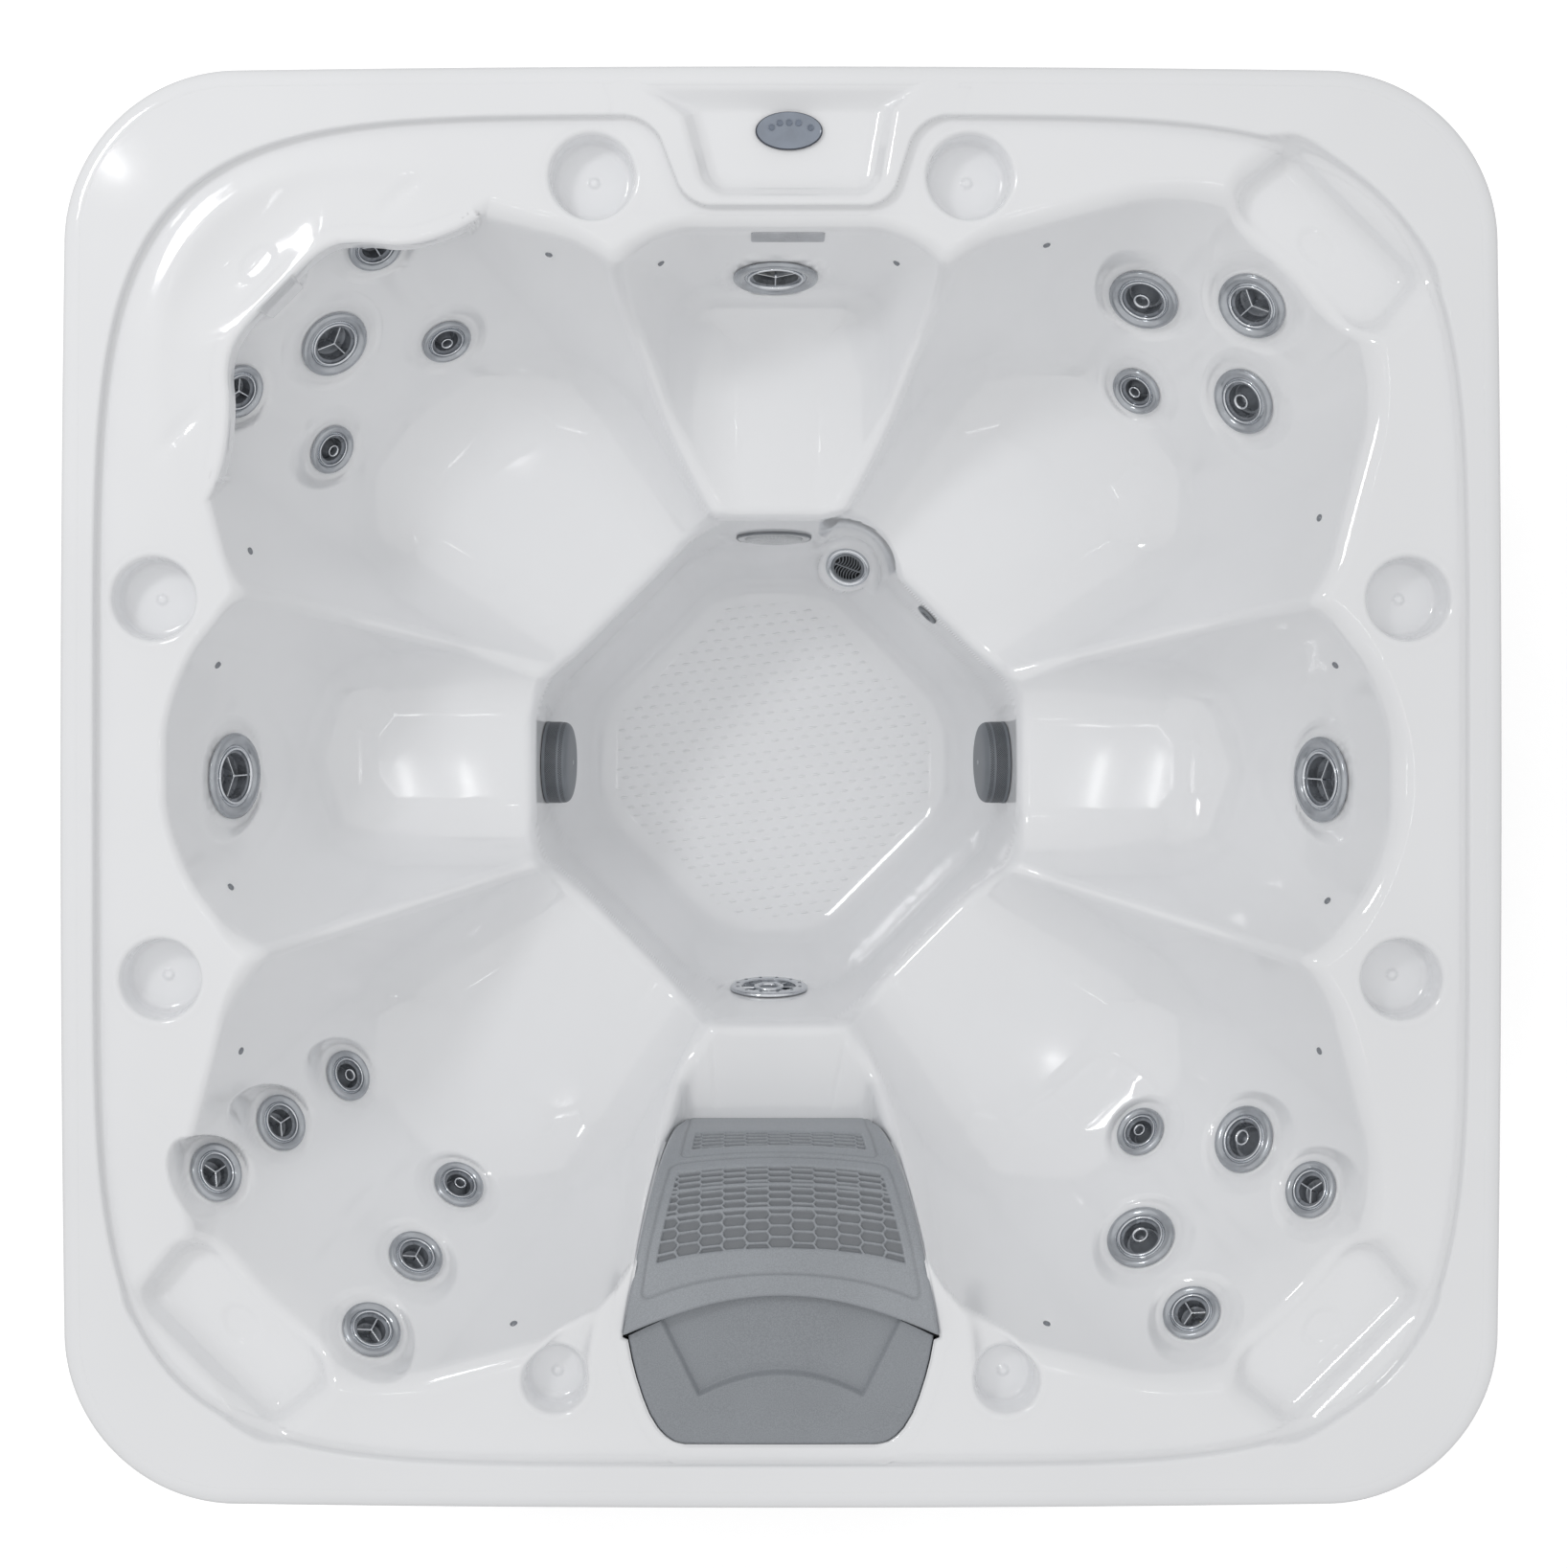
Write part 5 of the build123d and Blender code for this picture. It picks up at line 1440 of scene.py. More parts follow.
    def tray_patch(self) -> Sheet:
        """A fine patch of the height surface round the control panel's tray."""
        x, y = np.meshgrid(np.linspace(self.tray_low[0], self.tray_high[0], 290),
                           np.linspace(self.tray_low[1], self.tray_high[1], 106))
        points, normals = surface(x, y)
        inward = np.minimum.reduce([x - self.tray_low[0], self.tray_high[0] - x, y - self.tray_low[1],
                                    self.tray_high[1] - y + 27])
        points[..., 2] -= 2 * self.tuck * (1 - ease(inward, 22, 27))
        return Sheet(points, normals, self.clear_of_cups(centres(x), centres(y)))

    def filter_strip(self) -> Sheet:
        """A fine strip round the filter cover: its bay's wall, the turned edge and the deck beside it.

        The wall's rows are given by their drops below the edge. The wall runs under the cowl, and
        beside the lid it stands back, because the opened lid's corners turn down into the bay.
        """
        path = FILTER.path()
        outward = -side_normals(path)
        for _ in range(3):
            outward[1:-1] = (outward[:-2] + 2 * outward[1:-1] + outward[2:]) / 4
        outward /= np.linalg.norm(outward, axis=1, keepdims=True)
        reach = np.array([0.5, 0.9, 1.5, 2.4, 3.6, 5.2, 7.5, 10.5, 14, 18, 22, 27])[:, None]
        plan = path + (reach + FILTER.gap(path[:, 1]))[..., None] * outward
        points, _ = surface(plan[..., 0], plan[..., 1])
        front = ease(plan[..., 1], self.strip_front - 4, self.strip_front)
        points[..., 2] -= self.tuck * np.maximum(ease(reach, 14, 19), front)
        drop = np.array([0, 60, 9, 3, 0.7])[:, None]
        wall = np.repeat(points[:1], len(drop), 0)
        lid = ease(-path[:, 1], 765, 795)
        back = self.set_back * lid * (1 - ease(-path[:, 1], 855, 880))
        inset = np.array([0.1, 0.1, 0.1, 0.1, 0.3])[:, None] - 3.2 * (1 - lid)
        inset[:3] += back
        wall[:, :, :2] = path + inset[..., None] * outward
        wall[:, :, 2] -= drop
        wall[0, :, 2] = FILTER.foot
        return Sheet(np.concatenate([wall, points]))

    def outline(self, inset: float) -> Array:
        """The tub's outline: a rounded square whose sides bow outwards.

        Straight runs and quarter circles, then each coordinate is drawn in by the square of the
        other.

        Args:
            inset: Distance inside the outer edge.

        Returns:
            Points anticlockwise from the back side's middle, closed.
        """
        half, corner, bow = HALF - 0.05 - inset, 250.0 - inset, 10.0
        straight = np.linspace(0, half - corner, 44)[:-1]
        angle = np.linspace(0, np.pi / 2, 42)
        quarter = np.concatenate([
            np.stack([-straight, np.full(43, half)], -1),
            np.stack([-(half - corner) - corner * np.sin(angle), half - corner + corner * np.cos(angle)], -1),
            np.stack([np.full(43, -half), straight[::-1]], -1)])
        loop = np.concatenate([quarter @ spin(turn).axes[:2, :2].T for turn in (0, 90, 180, 270)]
                              + [quarter[:1]])
        x, y = loop.T
        return np.stack([x - x * bow / HALF * (y / HALF) ** 2, y - y * bow / HALF * (x / HALF) ** 2], -1)

    def rim_patch(self) -> Sheet:
        """The step and the flat of the rim: rows from inside the step line out to the edge.

        The stretch at the tray is left to the tray's own patch.
        """
        outer = self.outline(28)
        angle = np.arctan2(outer[:, 1] - STEP.centre_y, outer[:, 0])
        step, normal = STEP.at(angle)
        near = np.concatenate([[-20, -15], np.arange(-11, 12, 1.2), [15, 20]])
        rows = [step + v * normal for v in near]
        rows += [rows[-1] + (outer - rows[-1]) * share for share in np.linspace(0.15, 1, 9)]
        plan = np.stack(rows)
        points, normals = surface(plan[..., 0], plan[..., 1])
        points[..., 2] -= 3 * self.tuck * (1 - ease(STEP.distance(plan[..., 0], plan[..., 1]), -9, -2))
        points[-1, :, 2] = RIM
        cx, cy = centres(plan[..., 0]), centres(plan[..., 1])
        at_tray = (cx > self.tray_low[0] + 12) & (cx < self.tray_high[0] - 12) & (cy > 0)
        keep = ~at_tray & self.clear_of_cups(cx, cy)
        return Sheet(points, normals, keep, flipped=True)

    def edge(self) -> Sheet:
        """The rolled outer edge and skirt: one section carried round the outline."""
        roll = np.linspace(0, np.pi / 2, self.lip_rows)
        section = np.concatenate([
            [(31, 900.6), (28.8, 901.7), (27.4, 901.97), (25.5, 902)],
            np.stack([24 - 24 * np.sin(roll), 884 + 18 * np.cos(roll)], -1),
            [(0, 870), (0, 856), (0.4, 848), (2, 843.6), (5, 842.3), (9, 842), (12, 843), (13.6, 846),
             (14, 852), (14, 862), (16, 869), (22, 872.4), (34, 873), (66, 873)]])
        loops = np.stack([self.outline(inset) for inset in section[:, 0]])
        heights = np.broadcast_to(section[:, 1, None, None], (*loops.shape[:2], 1))
        return Sheet(np.concatenate([loops, heights], -1), flipped=True)

    def backing(self) -> Sheet:
        """The back of the moulding, one wall's thickness behind its face."""
        line = np.linspace(-1014, 1014, 170)
        x, y = np.meshgrid(line, line)
        points = np.stack([x, y, AirField(x, y, collar=False).height(WALL)], -1)
        cx, cy = centres(x), centres(y)
        keep = (STEP.distance(cx, cy) < 6) & ~self.jet_cells(cx, cy, 0.9)
        return Sheet(points, keep=keep, flipped=True)

    def pips(self) -> Sheet:
        """Low oval domes in slanting rows on the footwell's floor: height 1 less radius squared."""
        column, row = np.meshgrid(np.arange(-24, 25), np.arange(-24, 25))
        column_pitch, row_pitch, length, width, rise = 27.0, 18.0, 8.5, 2.6, 2.1
        cx = (column + 0.5 * (row % 2)) * column_pitch + row * 1.5
        cy = 5 + row * row_pitch + column * 3.2
        inside = np.ones(cx.shape, bool)
        for side in range(8):
            angle = math.radians(45 * side)
            inside &= cx * math.cos(angle) + (cy - 5) * math.sin(angle) < (304 if side % 2 == 0 else 274)
        cx, cy = cx[inside], cy[inside]
        ring, angle = np.linspace(0, 1, 4), np.linspace(0, 2 * np.pi, 11)
        x = (ring[:, None] * np.cos(angle)) * length
        y = (ring[:, None] * np.sin(angle)) * width
        z = rise * (1 - ring[:, None] ** 2) + 0 * x
        points = np.stack([cx[:, None, None] + x, cy[:, None, None] + y + x * 0.12,
                           79.9 + z + 0 * cx[:, None, None]], -1)
        rows, columns = points.shape[1:3]
        stacked = points.transpose(1, 0, 2, 3).reshape(rows, -1, 3)
        keep = np.ones((rows - 1, stacked.shape[1] - 1), bool)
        keep[:, columns - 1::columns] = False
        return Sheet(stacked, keep=keep)


# Jets
@dataclass
class JetFace:
    """A jet's turning face: smoked bezel, two chrome rings, dark bore, and star or nozzle."""

    fitting: Fitting
    segments: int = 60

    def build(self, finishes: Finishes) -> None:
        """Build the face in the order bezel, chrome, bore."""
        name, radius = self.fitting.name, self.fitting.diameter / 2
        sheets = self.foot(radius) if self.fitting.kind is FOOT else self.seat(radius)
        add_piece(f"{name}_face", self.fitting.placing().carry(*sheets),
                  [finishes.bezel, finishes.chrome, finishes.bore], f"{name}_body", (name,), sharp=50)

    def ring(self, radius: float, profile: Sequence[tuple[float, float]], dress: int,
             rounds: int = 2) -> Sheet:
        """A turned ring: shares of the radius and heights in millimetres."""
        return turned([(share * radius, height) for share, height in profile], self.segments, rounds, dress)

    def back(self, radius: float) -> Sheet:
        """The back of a face: a stem into the jet's body and the underside of the bezel."""
        stem = self.stem(radius)
        return turned([(0, -22), (stem, -22), (stem, 1.4), (radius * 0.985, 1.4)], self.segments, 0, 2)

    def stem(self, radius: float) -> float:
        """Radius of the stem in the jet's body."""
        return 0.62 * radius - 5.7

    def seat(self, radius: float) -> list[Sheet]:
        """The face of a seat jet."""
        stem = self.stem(radius)
        sheets = [
            self.back(radius),
            self.ring(radius, [(0.985, 1.4), (1.0, 2.2), (1.0, 4.6), (0.97, 7.4), (0.91, 8.9), (0.84, 8.7),
                               (0.77, 7.2), (0.72, 5.0), (0.705, 3.2)], 0),
            self.ring(radius, [(0.705, 3.2), (0.69, 2.4), (0.67, 3.0), (0.665, 5.4), (0.65, 6.8),
                               (0.615, 6.8), (0.595, 5.0), (0.585, 1.0)], 1),
            turned([(0.585 * radius, 1.0), (stem - 0.3, -3), (stem - 0.8, -15.4), (stem - 1.6, -16),
                    (0, -16)], self.segments, 1, 2),
        ]
        return sheets + (self.star(radius) if self.fitting.kind is STAR else self.nozzle(radius))

    def star(self, radius: float) -> list[Sheet]:
        """Three blades that meet in a hub, dark below and bright along their top edges."""
        sheets = [turned([(2.6, -14), (2.6, 1.2), (1.8, 2.4), (0, 2.6)], 24, 0, 1)]
        for turn in (90, 210, 330):
            for wide, low, high, dress in ((1.3, -14, 0.4, 2), (1.0, 0.4, 2.2, 1)):
                bar = box_sheet((1.5, -wide, low), (0.62 * radius - 6.2, wide, high), 0.5, dress)
                sheets += spin(turn).carry(bar)
        return sheets

    def nozzle(self, radius: float) -> list[Sheet]:
        """A tube on a flared foot, with a bright lip and a dark throat."""
        sheets = [
            self.ring(radius, [(0.42, -15.4), (0.38, -13), (0.30, -7), (0.255, -1), (0.24, 3)], 0, 1),
            self.ring(radius, [(0.24, 3), (0.24, 5), (0.225, 6.2), (0.19, 6.0), (0.17, 4.2)], 1),
            self.ring(radius, [(0.17, 4.2), (0.16, 0), (0.14, -9), (0.0, -11)], 2, 1),
        ]
        return shift(0.02 * radius, 0.05 * radius).carry(*sheets)

    def foot(self, radius: float) -> list[Sheet]:
        """The chrome foot jet: a broad flange, a ring of small ports and a middle nozzle."""
        sheets = [
            self.back(radius),
            self.ring(radius, [(0.985, 1.4), (1.0, 2), (1.0, 4), (0.98, 6.6), (0.93, 8), (0.86, 8.6),
                               (0.78, 8.8), (0.72, 8.2), (0.69, 6.2)], 1),
            self.ring(radius, [(0.69, 6.2), (0.67, 1), (0.60, -4), (0.52, -6), (0.44, -5), (0.40, -2)], 2, 1),
            self.ring(radius, [(0.40, -2), (0.395, 5), (0.375, 7.2), (0.33, 7.8), (0.28, 7.2),
                               (0.255, 4)], 1),
            self.ring(radius, [(0.255, 4), (0.23, -4), (0.18, -10), (0, -12)], 2, 1),
        ]
        for port in range(12):
            inner = turned([(3.1, 8.6), (2.9, 9.2), (2.3, 9.0), (1.8, 7.8), (0, 7.6)], 14, 0, 2)
            sheets += shift(*(spin(30 * port + 15).axes[:2, 0] * radius * 0.82)).carry(inner)
        for arm in range(8):
            bar = box_sheet((0.38 * radius, -1.6, -4), (0.70 * radius, 1.6, 4.6), 0.6, 1)
            sheets += spin(45 * arm).carry(bar)
        return sheets


# Footwell fittings
@dataclass
class FootwellFittings:
    """The suction covers, lamp lens, return grille and ozone outlet of the footwell."""

    def build(self, finishes: Finishes) -> None:
        """Build each fitting on its wall."""
        for cover in SUCTION:
            self.suction(cover, finishes)
        self.lens(finishes)
        self.grille(finishes)
        self.ozone(finishes)
        self.waterline(finishes)

    def suction(self, cover: Fitting, finishes: Finishes) -> None:
        """A drum with a perforated band, a stepped shoulder and a domed front with one screw."""
        radius = cover.diameter / 2
        drum = turned([(0, 1), (radius, 1), (radius, 3.4), (radius - 0.6, 3.8), (radius - 0.6, 26),
                       (radius - 1.4, 27), (radius - 1.4, 29), (radius - 1.0, 29.6), (radius - 2.2, 35),
                       (radius - 5, 38.6), (radius - 5.6, 38.8), (radius - 12, 42.6), (radius - 26, 44.4),
                       (radius - 44, 45), (0, 45)], 120, 1)
        band = turned([(radius - 5.2, 38.4), (radius - 6.4, 39.8), (radius - 8.2, 40.6)], 120, 1)
        screw = turned([(4.4, 44.6), (4.2, 45.6), (3.4, 46.0), (1.2, 46.0), (1.0, 45.2), (0, 45.1)], 20, 1, 1)
        add_piece(f"{cover.name}_shell", cover.placing().carry(drum, band, screw),
                  [finishes.suction, finishes.screw], stands_for=(cover.name,), sharp=32)

    def lens(self, finishes: Finishes) -> None:
        """A trim ring with a dark outer edge and a low ribbed lens inside it."""
        trim = turned([(0, 0.2), (64, 0.2), (64, 2.0), (62.6, 4.4), (58, 5.4), (52, 5.2), (49.5, 4.2)], 96, 1)
        edge = turned([(64, 0.4), (64.6, 1.2), (64.4, 3.0), (63.0, 4.5)], 96, 1, 1)
        dome = turned([(49.5, 4.2), (48.5, 6.6), (46, 8.2), (38, 9.2), (20, 9.9), (0, 10)], 96, 2, 2)
        add_piece("lamp_lens_cover", LENS.placing().carry(trim, edge, dome),
                  [finishes.lens, finishes.grey, finishes.lens], stands_for=("light_lens",), sharp=40)

    def grille(self, finishes: Finishes) -> None:
        """A chrome ring round a grey disc with two rows of curved slots between bars, over a black floor that
        is painted shade in the slots.
        """
        normal = np.array(RETURN.normal)
        normal /= np.linalg.norm(normal)
        side = np.array([0.94, -0.342, 0])
        side -= normal * (side @ normal)
        side /= np.linalg.norm(side)
        place = Placing(np.array(RETURN.place), np.stack([side, np.cross(normal, side), normal], 1))
        ring = turned([(39.5, 0.2), (39.5, 3), (38.4, 5.6), (36, 7), (32.5, 7), (30, 5.4), (28.6, 3.4)],
                      72, 2, 1)
        # Painted shade: a black floor behind the slots stands for the shade in the pipe
        floor = turned([(28.6, 3.4), (28, -6), (0, -6)], 48, 0, 2)
        disc = turned([(28.8, 3.2), (28.2, 4.0), (26.6, 4.2), (24.4, 4.0), (24.2, 1.5)], 64, 1, 0)
        bar = box_sheet((-25, -1.1, 1.2), (25, 1.1, 4.2), 0.5, 0)
        slots = [self.slot_bar(float(step), row) for row in (-1, 1) for step in np.linspace(-20.5, 20.5, 9)]
        add_piece("return_grille_face", place.carry(ring, floor, disc, bar, *slots),
                  [finishes.grey, finishes.chrome, finishes.dark], stands_for=("return_grille",), sharp=45)

    def slot_bar(self, x: float, row: int) -> Sheet:
        """One curved bar: a small section carried along an arc from the middle bar to the ring."""
        reach = math.sqrt(max(25.0 ** 2 - x * x, 20.0))
        share = np.linspace(0, 1, 9)
        y = row * share * reach
        bend = x + row * 3.2 * np.sin(np.pi * share)
        angle = np.linspace(0, 2 * np.pi, 9)
        section = np.stack([1.0 * np.cos(angle), 1.4 * np.sin(angle)], -1)
        points = np.stack([bend[:, None] + section[:, 0], np.repeat(y[:, None], 9, 1),
                           2.8 + section[:, 1] + 0 * bend[:, None]], -1)
        return Sheet(points, flipped=row > 0)

    def ozone(self, finishes: Finishes) -> None:
        """A small grey outlet whose throat is a black disc of painted shade, crossed by two vanes."""
        body = turned([(0, 0.2), (20, 0.2), (20, 2.4), (18.8, 4.6), (15, 5.4), (11.5, 4.6), (10, 2.6)], 48, 2)
        # Painted shade: the shallow throat takes the black finish in place of a dark opening
        throat = turned([(10, 2.6), (9.4, 0.8), (0, 0.6)], 32, 1, 1)
        vanes = [spin(turn).carry(box_sheet((-9.6, -0.8, 0.6), (9.6, 0.8, 3), 0.4, 0))[0] for turn in (0, 90)]
        add_piece("ozone_outlet", OZONE.placing().carry(body, throat, *vanes),
                  [finishes.grey, finishes.dark], stands_for=("ozone_fitting",), sharp=40)

    def waterline(self, finishes: Finishes) -> None:
        """Fourteen small clear caps along the waterline, each a low dome in a thin ring."""
        sheets = []
        for light in LIGHTS:
            sheet = turned([(0, -8), (5.8, -8), (5.8, 0.4), (5.6, 1.2), (4.6, 1.8), (4.2, 1.5), (3.9, 1.9),
                            (2.4, 2.8), (0, 3.1)], 20, 1)
            sheets += settled(light.placing()).carry(sheet)
        add_piece("waterline_caps", sheets, [finishes.cap], stands_for=("waterline_lights",),
                  sharp=60)


# Control panel
@dataclass
class ControlPanel:
    """The oval control panel in the rim's tray and its five keys."""

    centre: tuple[float, float] = (12.0, 973.0)
    half: tuple[float, float] = (50.0, 28.5)
    low: float = TRAY_FLOOR
    keys: dict[str, tuple[float, float]] = field(default_factory=lambda: {
        "key_1": (-26, 4.5), "key_2": (-14, 11), "key_3": (0, 11.5), "key_4": (14, 11), "key_5": (32, 4)})

    def build(self, finishes: Finishes) -> None:
        """Build the case and dress the keys."""
        angle = np.linspace(0, 2 * np.pi, 97)
        side = [(0, -33), (0.72, -33), (0.72, 0), (0.985, 0.2), (1, 0.8), (1, 4.4), (0.985, 6.2),
                (0.955, 7.0)]
        top = [(0.955, 7.0), (0.93, 6.4), (0.91, 6.5), (0.82, 6.8), (0.6, 7.1), (0.3, 7.2), (0, 7.2)]
        sheets = []
        for dress, line in ((1, side), (0, top)):
            share, height = np.hsplit(soften(np.array(line, float), 1), 2)
            oval = np.stack([share * self.half[0] * np.cos(angle), share * self.half[1] * np.sin(angle),
                             height + 0 * angle], -1)
            sheets += shift(*self.centre, self.low).carry(Sheet(oval, dress=dress))
        add_piece("control_panel_case", sheets, [finishes.panel, finishes.panel_edge],
                  stands_for=("control_panel",), sharp=50)
        for name, (x, y) in self.keys.items():
            cap = turned([(0, 3), (4.8, 3), (4.8, 8.6), (4.4, 9.2), (3.6, 9.2), (3.0, 8.3), (1.4, 8.4),
                          (0, 8.4)], 36, 1)
            place = shift(self.centre[0] + x, self.centre[1] + y, self.low)
            add_piece(f"{name}_cap", place.carry(cap), [finishes.key], f"{name}_body", (name,),
                      sharp=50)


# Filter cover
@dataclass(frozen=True)
class Panel:
    """A sunk panel of the cowl: its levels are in degrees, its widths in millimetres."""

    half: float
    level: float
    flare: float
    frame: tuple[float, float]
    corner: float
    floor: tuple[float, float]
    run: float
    bands: tuple[tuple[float, float, float], ...]


@dataclass
class FilterCover:
    """The grey cowl with its rows of long hexagonal cells, and the scooped lid behind it."""

    columns: int = 300
    rows: int = 290
    cell_width: float = 34.5
    half_rib: float = 1.5
    base: float = 541.0
    lid_back: float = 874.4
    panels: tuple[Panel, ...] = (
        Panel(157, 29, 0.88, (71.5, 24.5), 16, (62.8, 28.8), 4.6,
              ((19.0, 62.4, 48.0), (14.2, 47.2, 38.2), (12.4, 37.4, 29.2))),
        Panel(133, 8, 0.4, (22.6, -40), 12, (17.6, 5.4), 4.9, ((12.4, 17.2, 5.8),)))

    def build(self, finishes: Finishes) -> None:
        """Build the cowl, lid and cartridge."""
        add_piece("filter_cowl", [self.cowl()], [finishes.cowl],
                  stands_for=("filter_grille",), sharp=None)
        add_piece("filter_lid_top", self.lid(), [finishes.lid_grey], "lid",
                  ("filter_lid",), sharp=50)
        add_piece("cartridge_pleats", self.cartridge(), [finishes.media, finishes.pvc],
                  "cartridge", ("filter_cartridge",), sharp=50)

    def cells(self, run: Array, pitch: float, start: float, end: float, x: Array, beside: Array) -> Array:
        """Depth of the long hexagonal cells in one band, from 0 at a rib to 1 on a cell's floor.

        Cells stand in columns, each column half a cell on from the last. A cell's edge distance is
        the larger of its height's and its slanted end's.

        Args:
            run: Distance along the cowl's section.
            pitch: A cell's height with its rib.
            start: Where the band's first row starts.
            end: Where its last row ends.
            x: Distance across the cowl.
            beside: Distance outside the panel's sides, negative within.

        Returns:
            Depth from 0 to 1.
        """
        column = np.floor(x / self.cell_width + 0.5)
        side = np.abs(x - column * self.cell_width)
        level = (run - start) / pitch + 0.5 * (column % 2)
        up = np.abs(level - np.floor(level) - 0.5) * pitch
        slant = side + up * 0.75 - self.cell_width / 2 - 0.75 * pitch / 4
        edge = np.maximum(up - pitch / 2, slant) + self.half_rib
        fence = np.maximum.reduce([start - run + 0.6, run - end + 0.6, beside + 1.2])
        return 1 - ease(np.maximum(edge, fence), -1.5, 0.4)

    def cowl(self) -> Sheet:
        """The cowl's outer face: a quarter ellipse from the crown down to the front, then straight.

        Columns run across with a rolled side at each end. The first rows are the wall below the rear
        arc; the rest run forwards from it to the foot.
        """
        u = np.linspace(-1, 1, self.columns)[None, :]
        v = np.linspace(0, 1, self.rows)[:, None]
        start = FILTER.arc + (FILTER.rear - FILTER.arc) * u ** 2
        reach = FILTER.front - FILTER.crown_start
        top = np.pi / 2 - np.arcsin((start - FILTER.crown_start) / reach)
        bend = 0.94
        turn = top * (1 - np.clip(v / bend, 0, 1))
        y = FILTER.crown_start + reach * np.cos(turn)
        low = FILTER.crown - FILTER.drop
        z = low + FILTER.drop * np.sin(turn) - np.maximum(v - bend, 0) / (1 - bend) * (low - self.base)
        half = np.minimum(FILTER.cowl_half(y), 147.5 + np.maximum(z - 540, 0) * 0.2493)
        x = np.clip(u * 1.06, -1, 1) * half
        roll = np.clip((np.abs(x) - (half - 9)) / 9, 0, 1)
        side = np.clip(np.abs(u) * 1.06 - 1, 0, 1) / 0.06
        normal_y, normal_z = np.cos(turn) / reach, np.sin(turn) / FILTER.drop
        length = np.hypot(normal_y, normal_z)
        lip = 3.0 * (1 - ease(v * 400 + 0 * x, 0.0, 4.0))
        depth, shade = self.relief(x, turn)
        sink = 7 * (1 - np.sqrt(1 - 0.96 * roll ** 2)) + side * 46 + depth + lip
        points = np.stack([x, y - sink * normal_y / length, z - sink * normal_z / length], -1)
        points[..., 2] = np.maximum(points[..., 2], self.base)
        wall = np.stack([points[0] * (1, 1, 0) + (0, 0, 868), points[0] - (0, 0, 0.4)])
        none = np.zeros((2, self.columns))
        return Sheet(np.concatenate([wall, points]), flipped=True, shade=np.concatenate([none, shade]))

    def relief(self, x: Array, turn: Array) -> tuple[Array, Array]:
        """How far each point is sunk, and how much painted shade it takes: full on a cell's floor, less in a
        frame's groove.

        A point's level is its turn in degrees, less a shift that grows with the square of the
        distance from the middle, so that the bands bow towards the front.

        Args:
            x: Distance across the cowl.
            turn: Turn along the quarter ellipse.

        Returns:
            Depth in millimetres, and the painted shade from 0 to 1.
        """
        degrees = np.degrees(turn)
        bow = np.interp(degrees, (5, 20, 30, 63, 72, 79), (5, 9, 13, 19, 29, 36))
        level = degrees - np.degrees(bow * (x / 200) ** 2 / (243 * np.maximum(np.sin(turn), 0.3)))
        depth, shade, cells = np.zeros((3, *level.shape))
        for panel in self.panels:
            side = np.abs(x) - (panel.half + (level - panel.level) * panel.flare)
            frame = np.maximum(level - panel.frame[0], panel.frame[1] - level) * panel.run
            frame = rounded_max(frame, side - 15, panel.corner)
            floor = np.maximum(np.maximum(level - panel.floor[0], panel.floor[1] - level) * panel.run, side)
            groove = np.exp(-((frame + 1.5) / 2.2) ** 2)
            depth += 1.2 * (1 - ease(floor, -1.4, 0.6)) + 1.6 * (1 - ease(frame, -5, 0)) + 2.2 * groove
            # Painted shade along the frame's groove
            shade += 0.4 * groove
            for pitch, high, low in panel.bands:
                start, end = (90 - high) * panel.run, (90 - low) * panel.run
                cells += self.cells((90 - level) * panel.run, pitch, start, end, x, side)
        return depth + 4.4 * cells, np.clip(shade + cells, 0, 1)

    def lid(self) -> list[Sheet]:
        """The lid: a low crown with a scoop behind the cowl's arc, a rolled edge and a flat back."""
        u = np.linspace(-1, 1, 241)[None, :]
        v = np.linspace(0, 1, 201)[:, None]
        front = FILTER.arc - 1.4 + (FILTER.rear - FILTER.arc) * (u * 226 / 235) ** 2
        y = front + (FILTER.lid_end + 0.6 - front) * v
        half = FILTER.lid_half(np.minimum(y, -818)) - 0.6
        x = u * half
        edge = np.minimum(half - np.abs(x), y - FILTER.lid_end)
        roll = 1 - np.clip(edge / 7, 0, 1)
        crown = 886 - 3.4 * (x / 230) ** 2 - 2.5 * np.clip((-y - 870) / 100, 0, 1) ** 2
        lip = -872 - 33 * (x / 122) ** 2
        inner = rounded_max(lip - y, np.abs(x) - (123 + (y + 905) * 0.5), 4)
        scoop = 11 * (1 - ease(inner, -9, 1))
        z = crown - scoop - 6 * (1 - np.sqrt(1 - roll ** 2))
        top = np.stack([x, y, z], -1)
        rim = np.concatenate([top[0], top[1:, -1], top[-1, -2::-1], top[-2:0:-1, 0], top[:1, 0]])
        foot = rim * (1, 1, 0) + (0, 0, self.lid_back)
        flat = np.stack([foot, 0 * foot + (0, -880, self.lid_back)])
        return [Sheet(top, flipped=True), Sheet(np.stack([rim, foot])), Sheet(flat)]

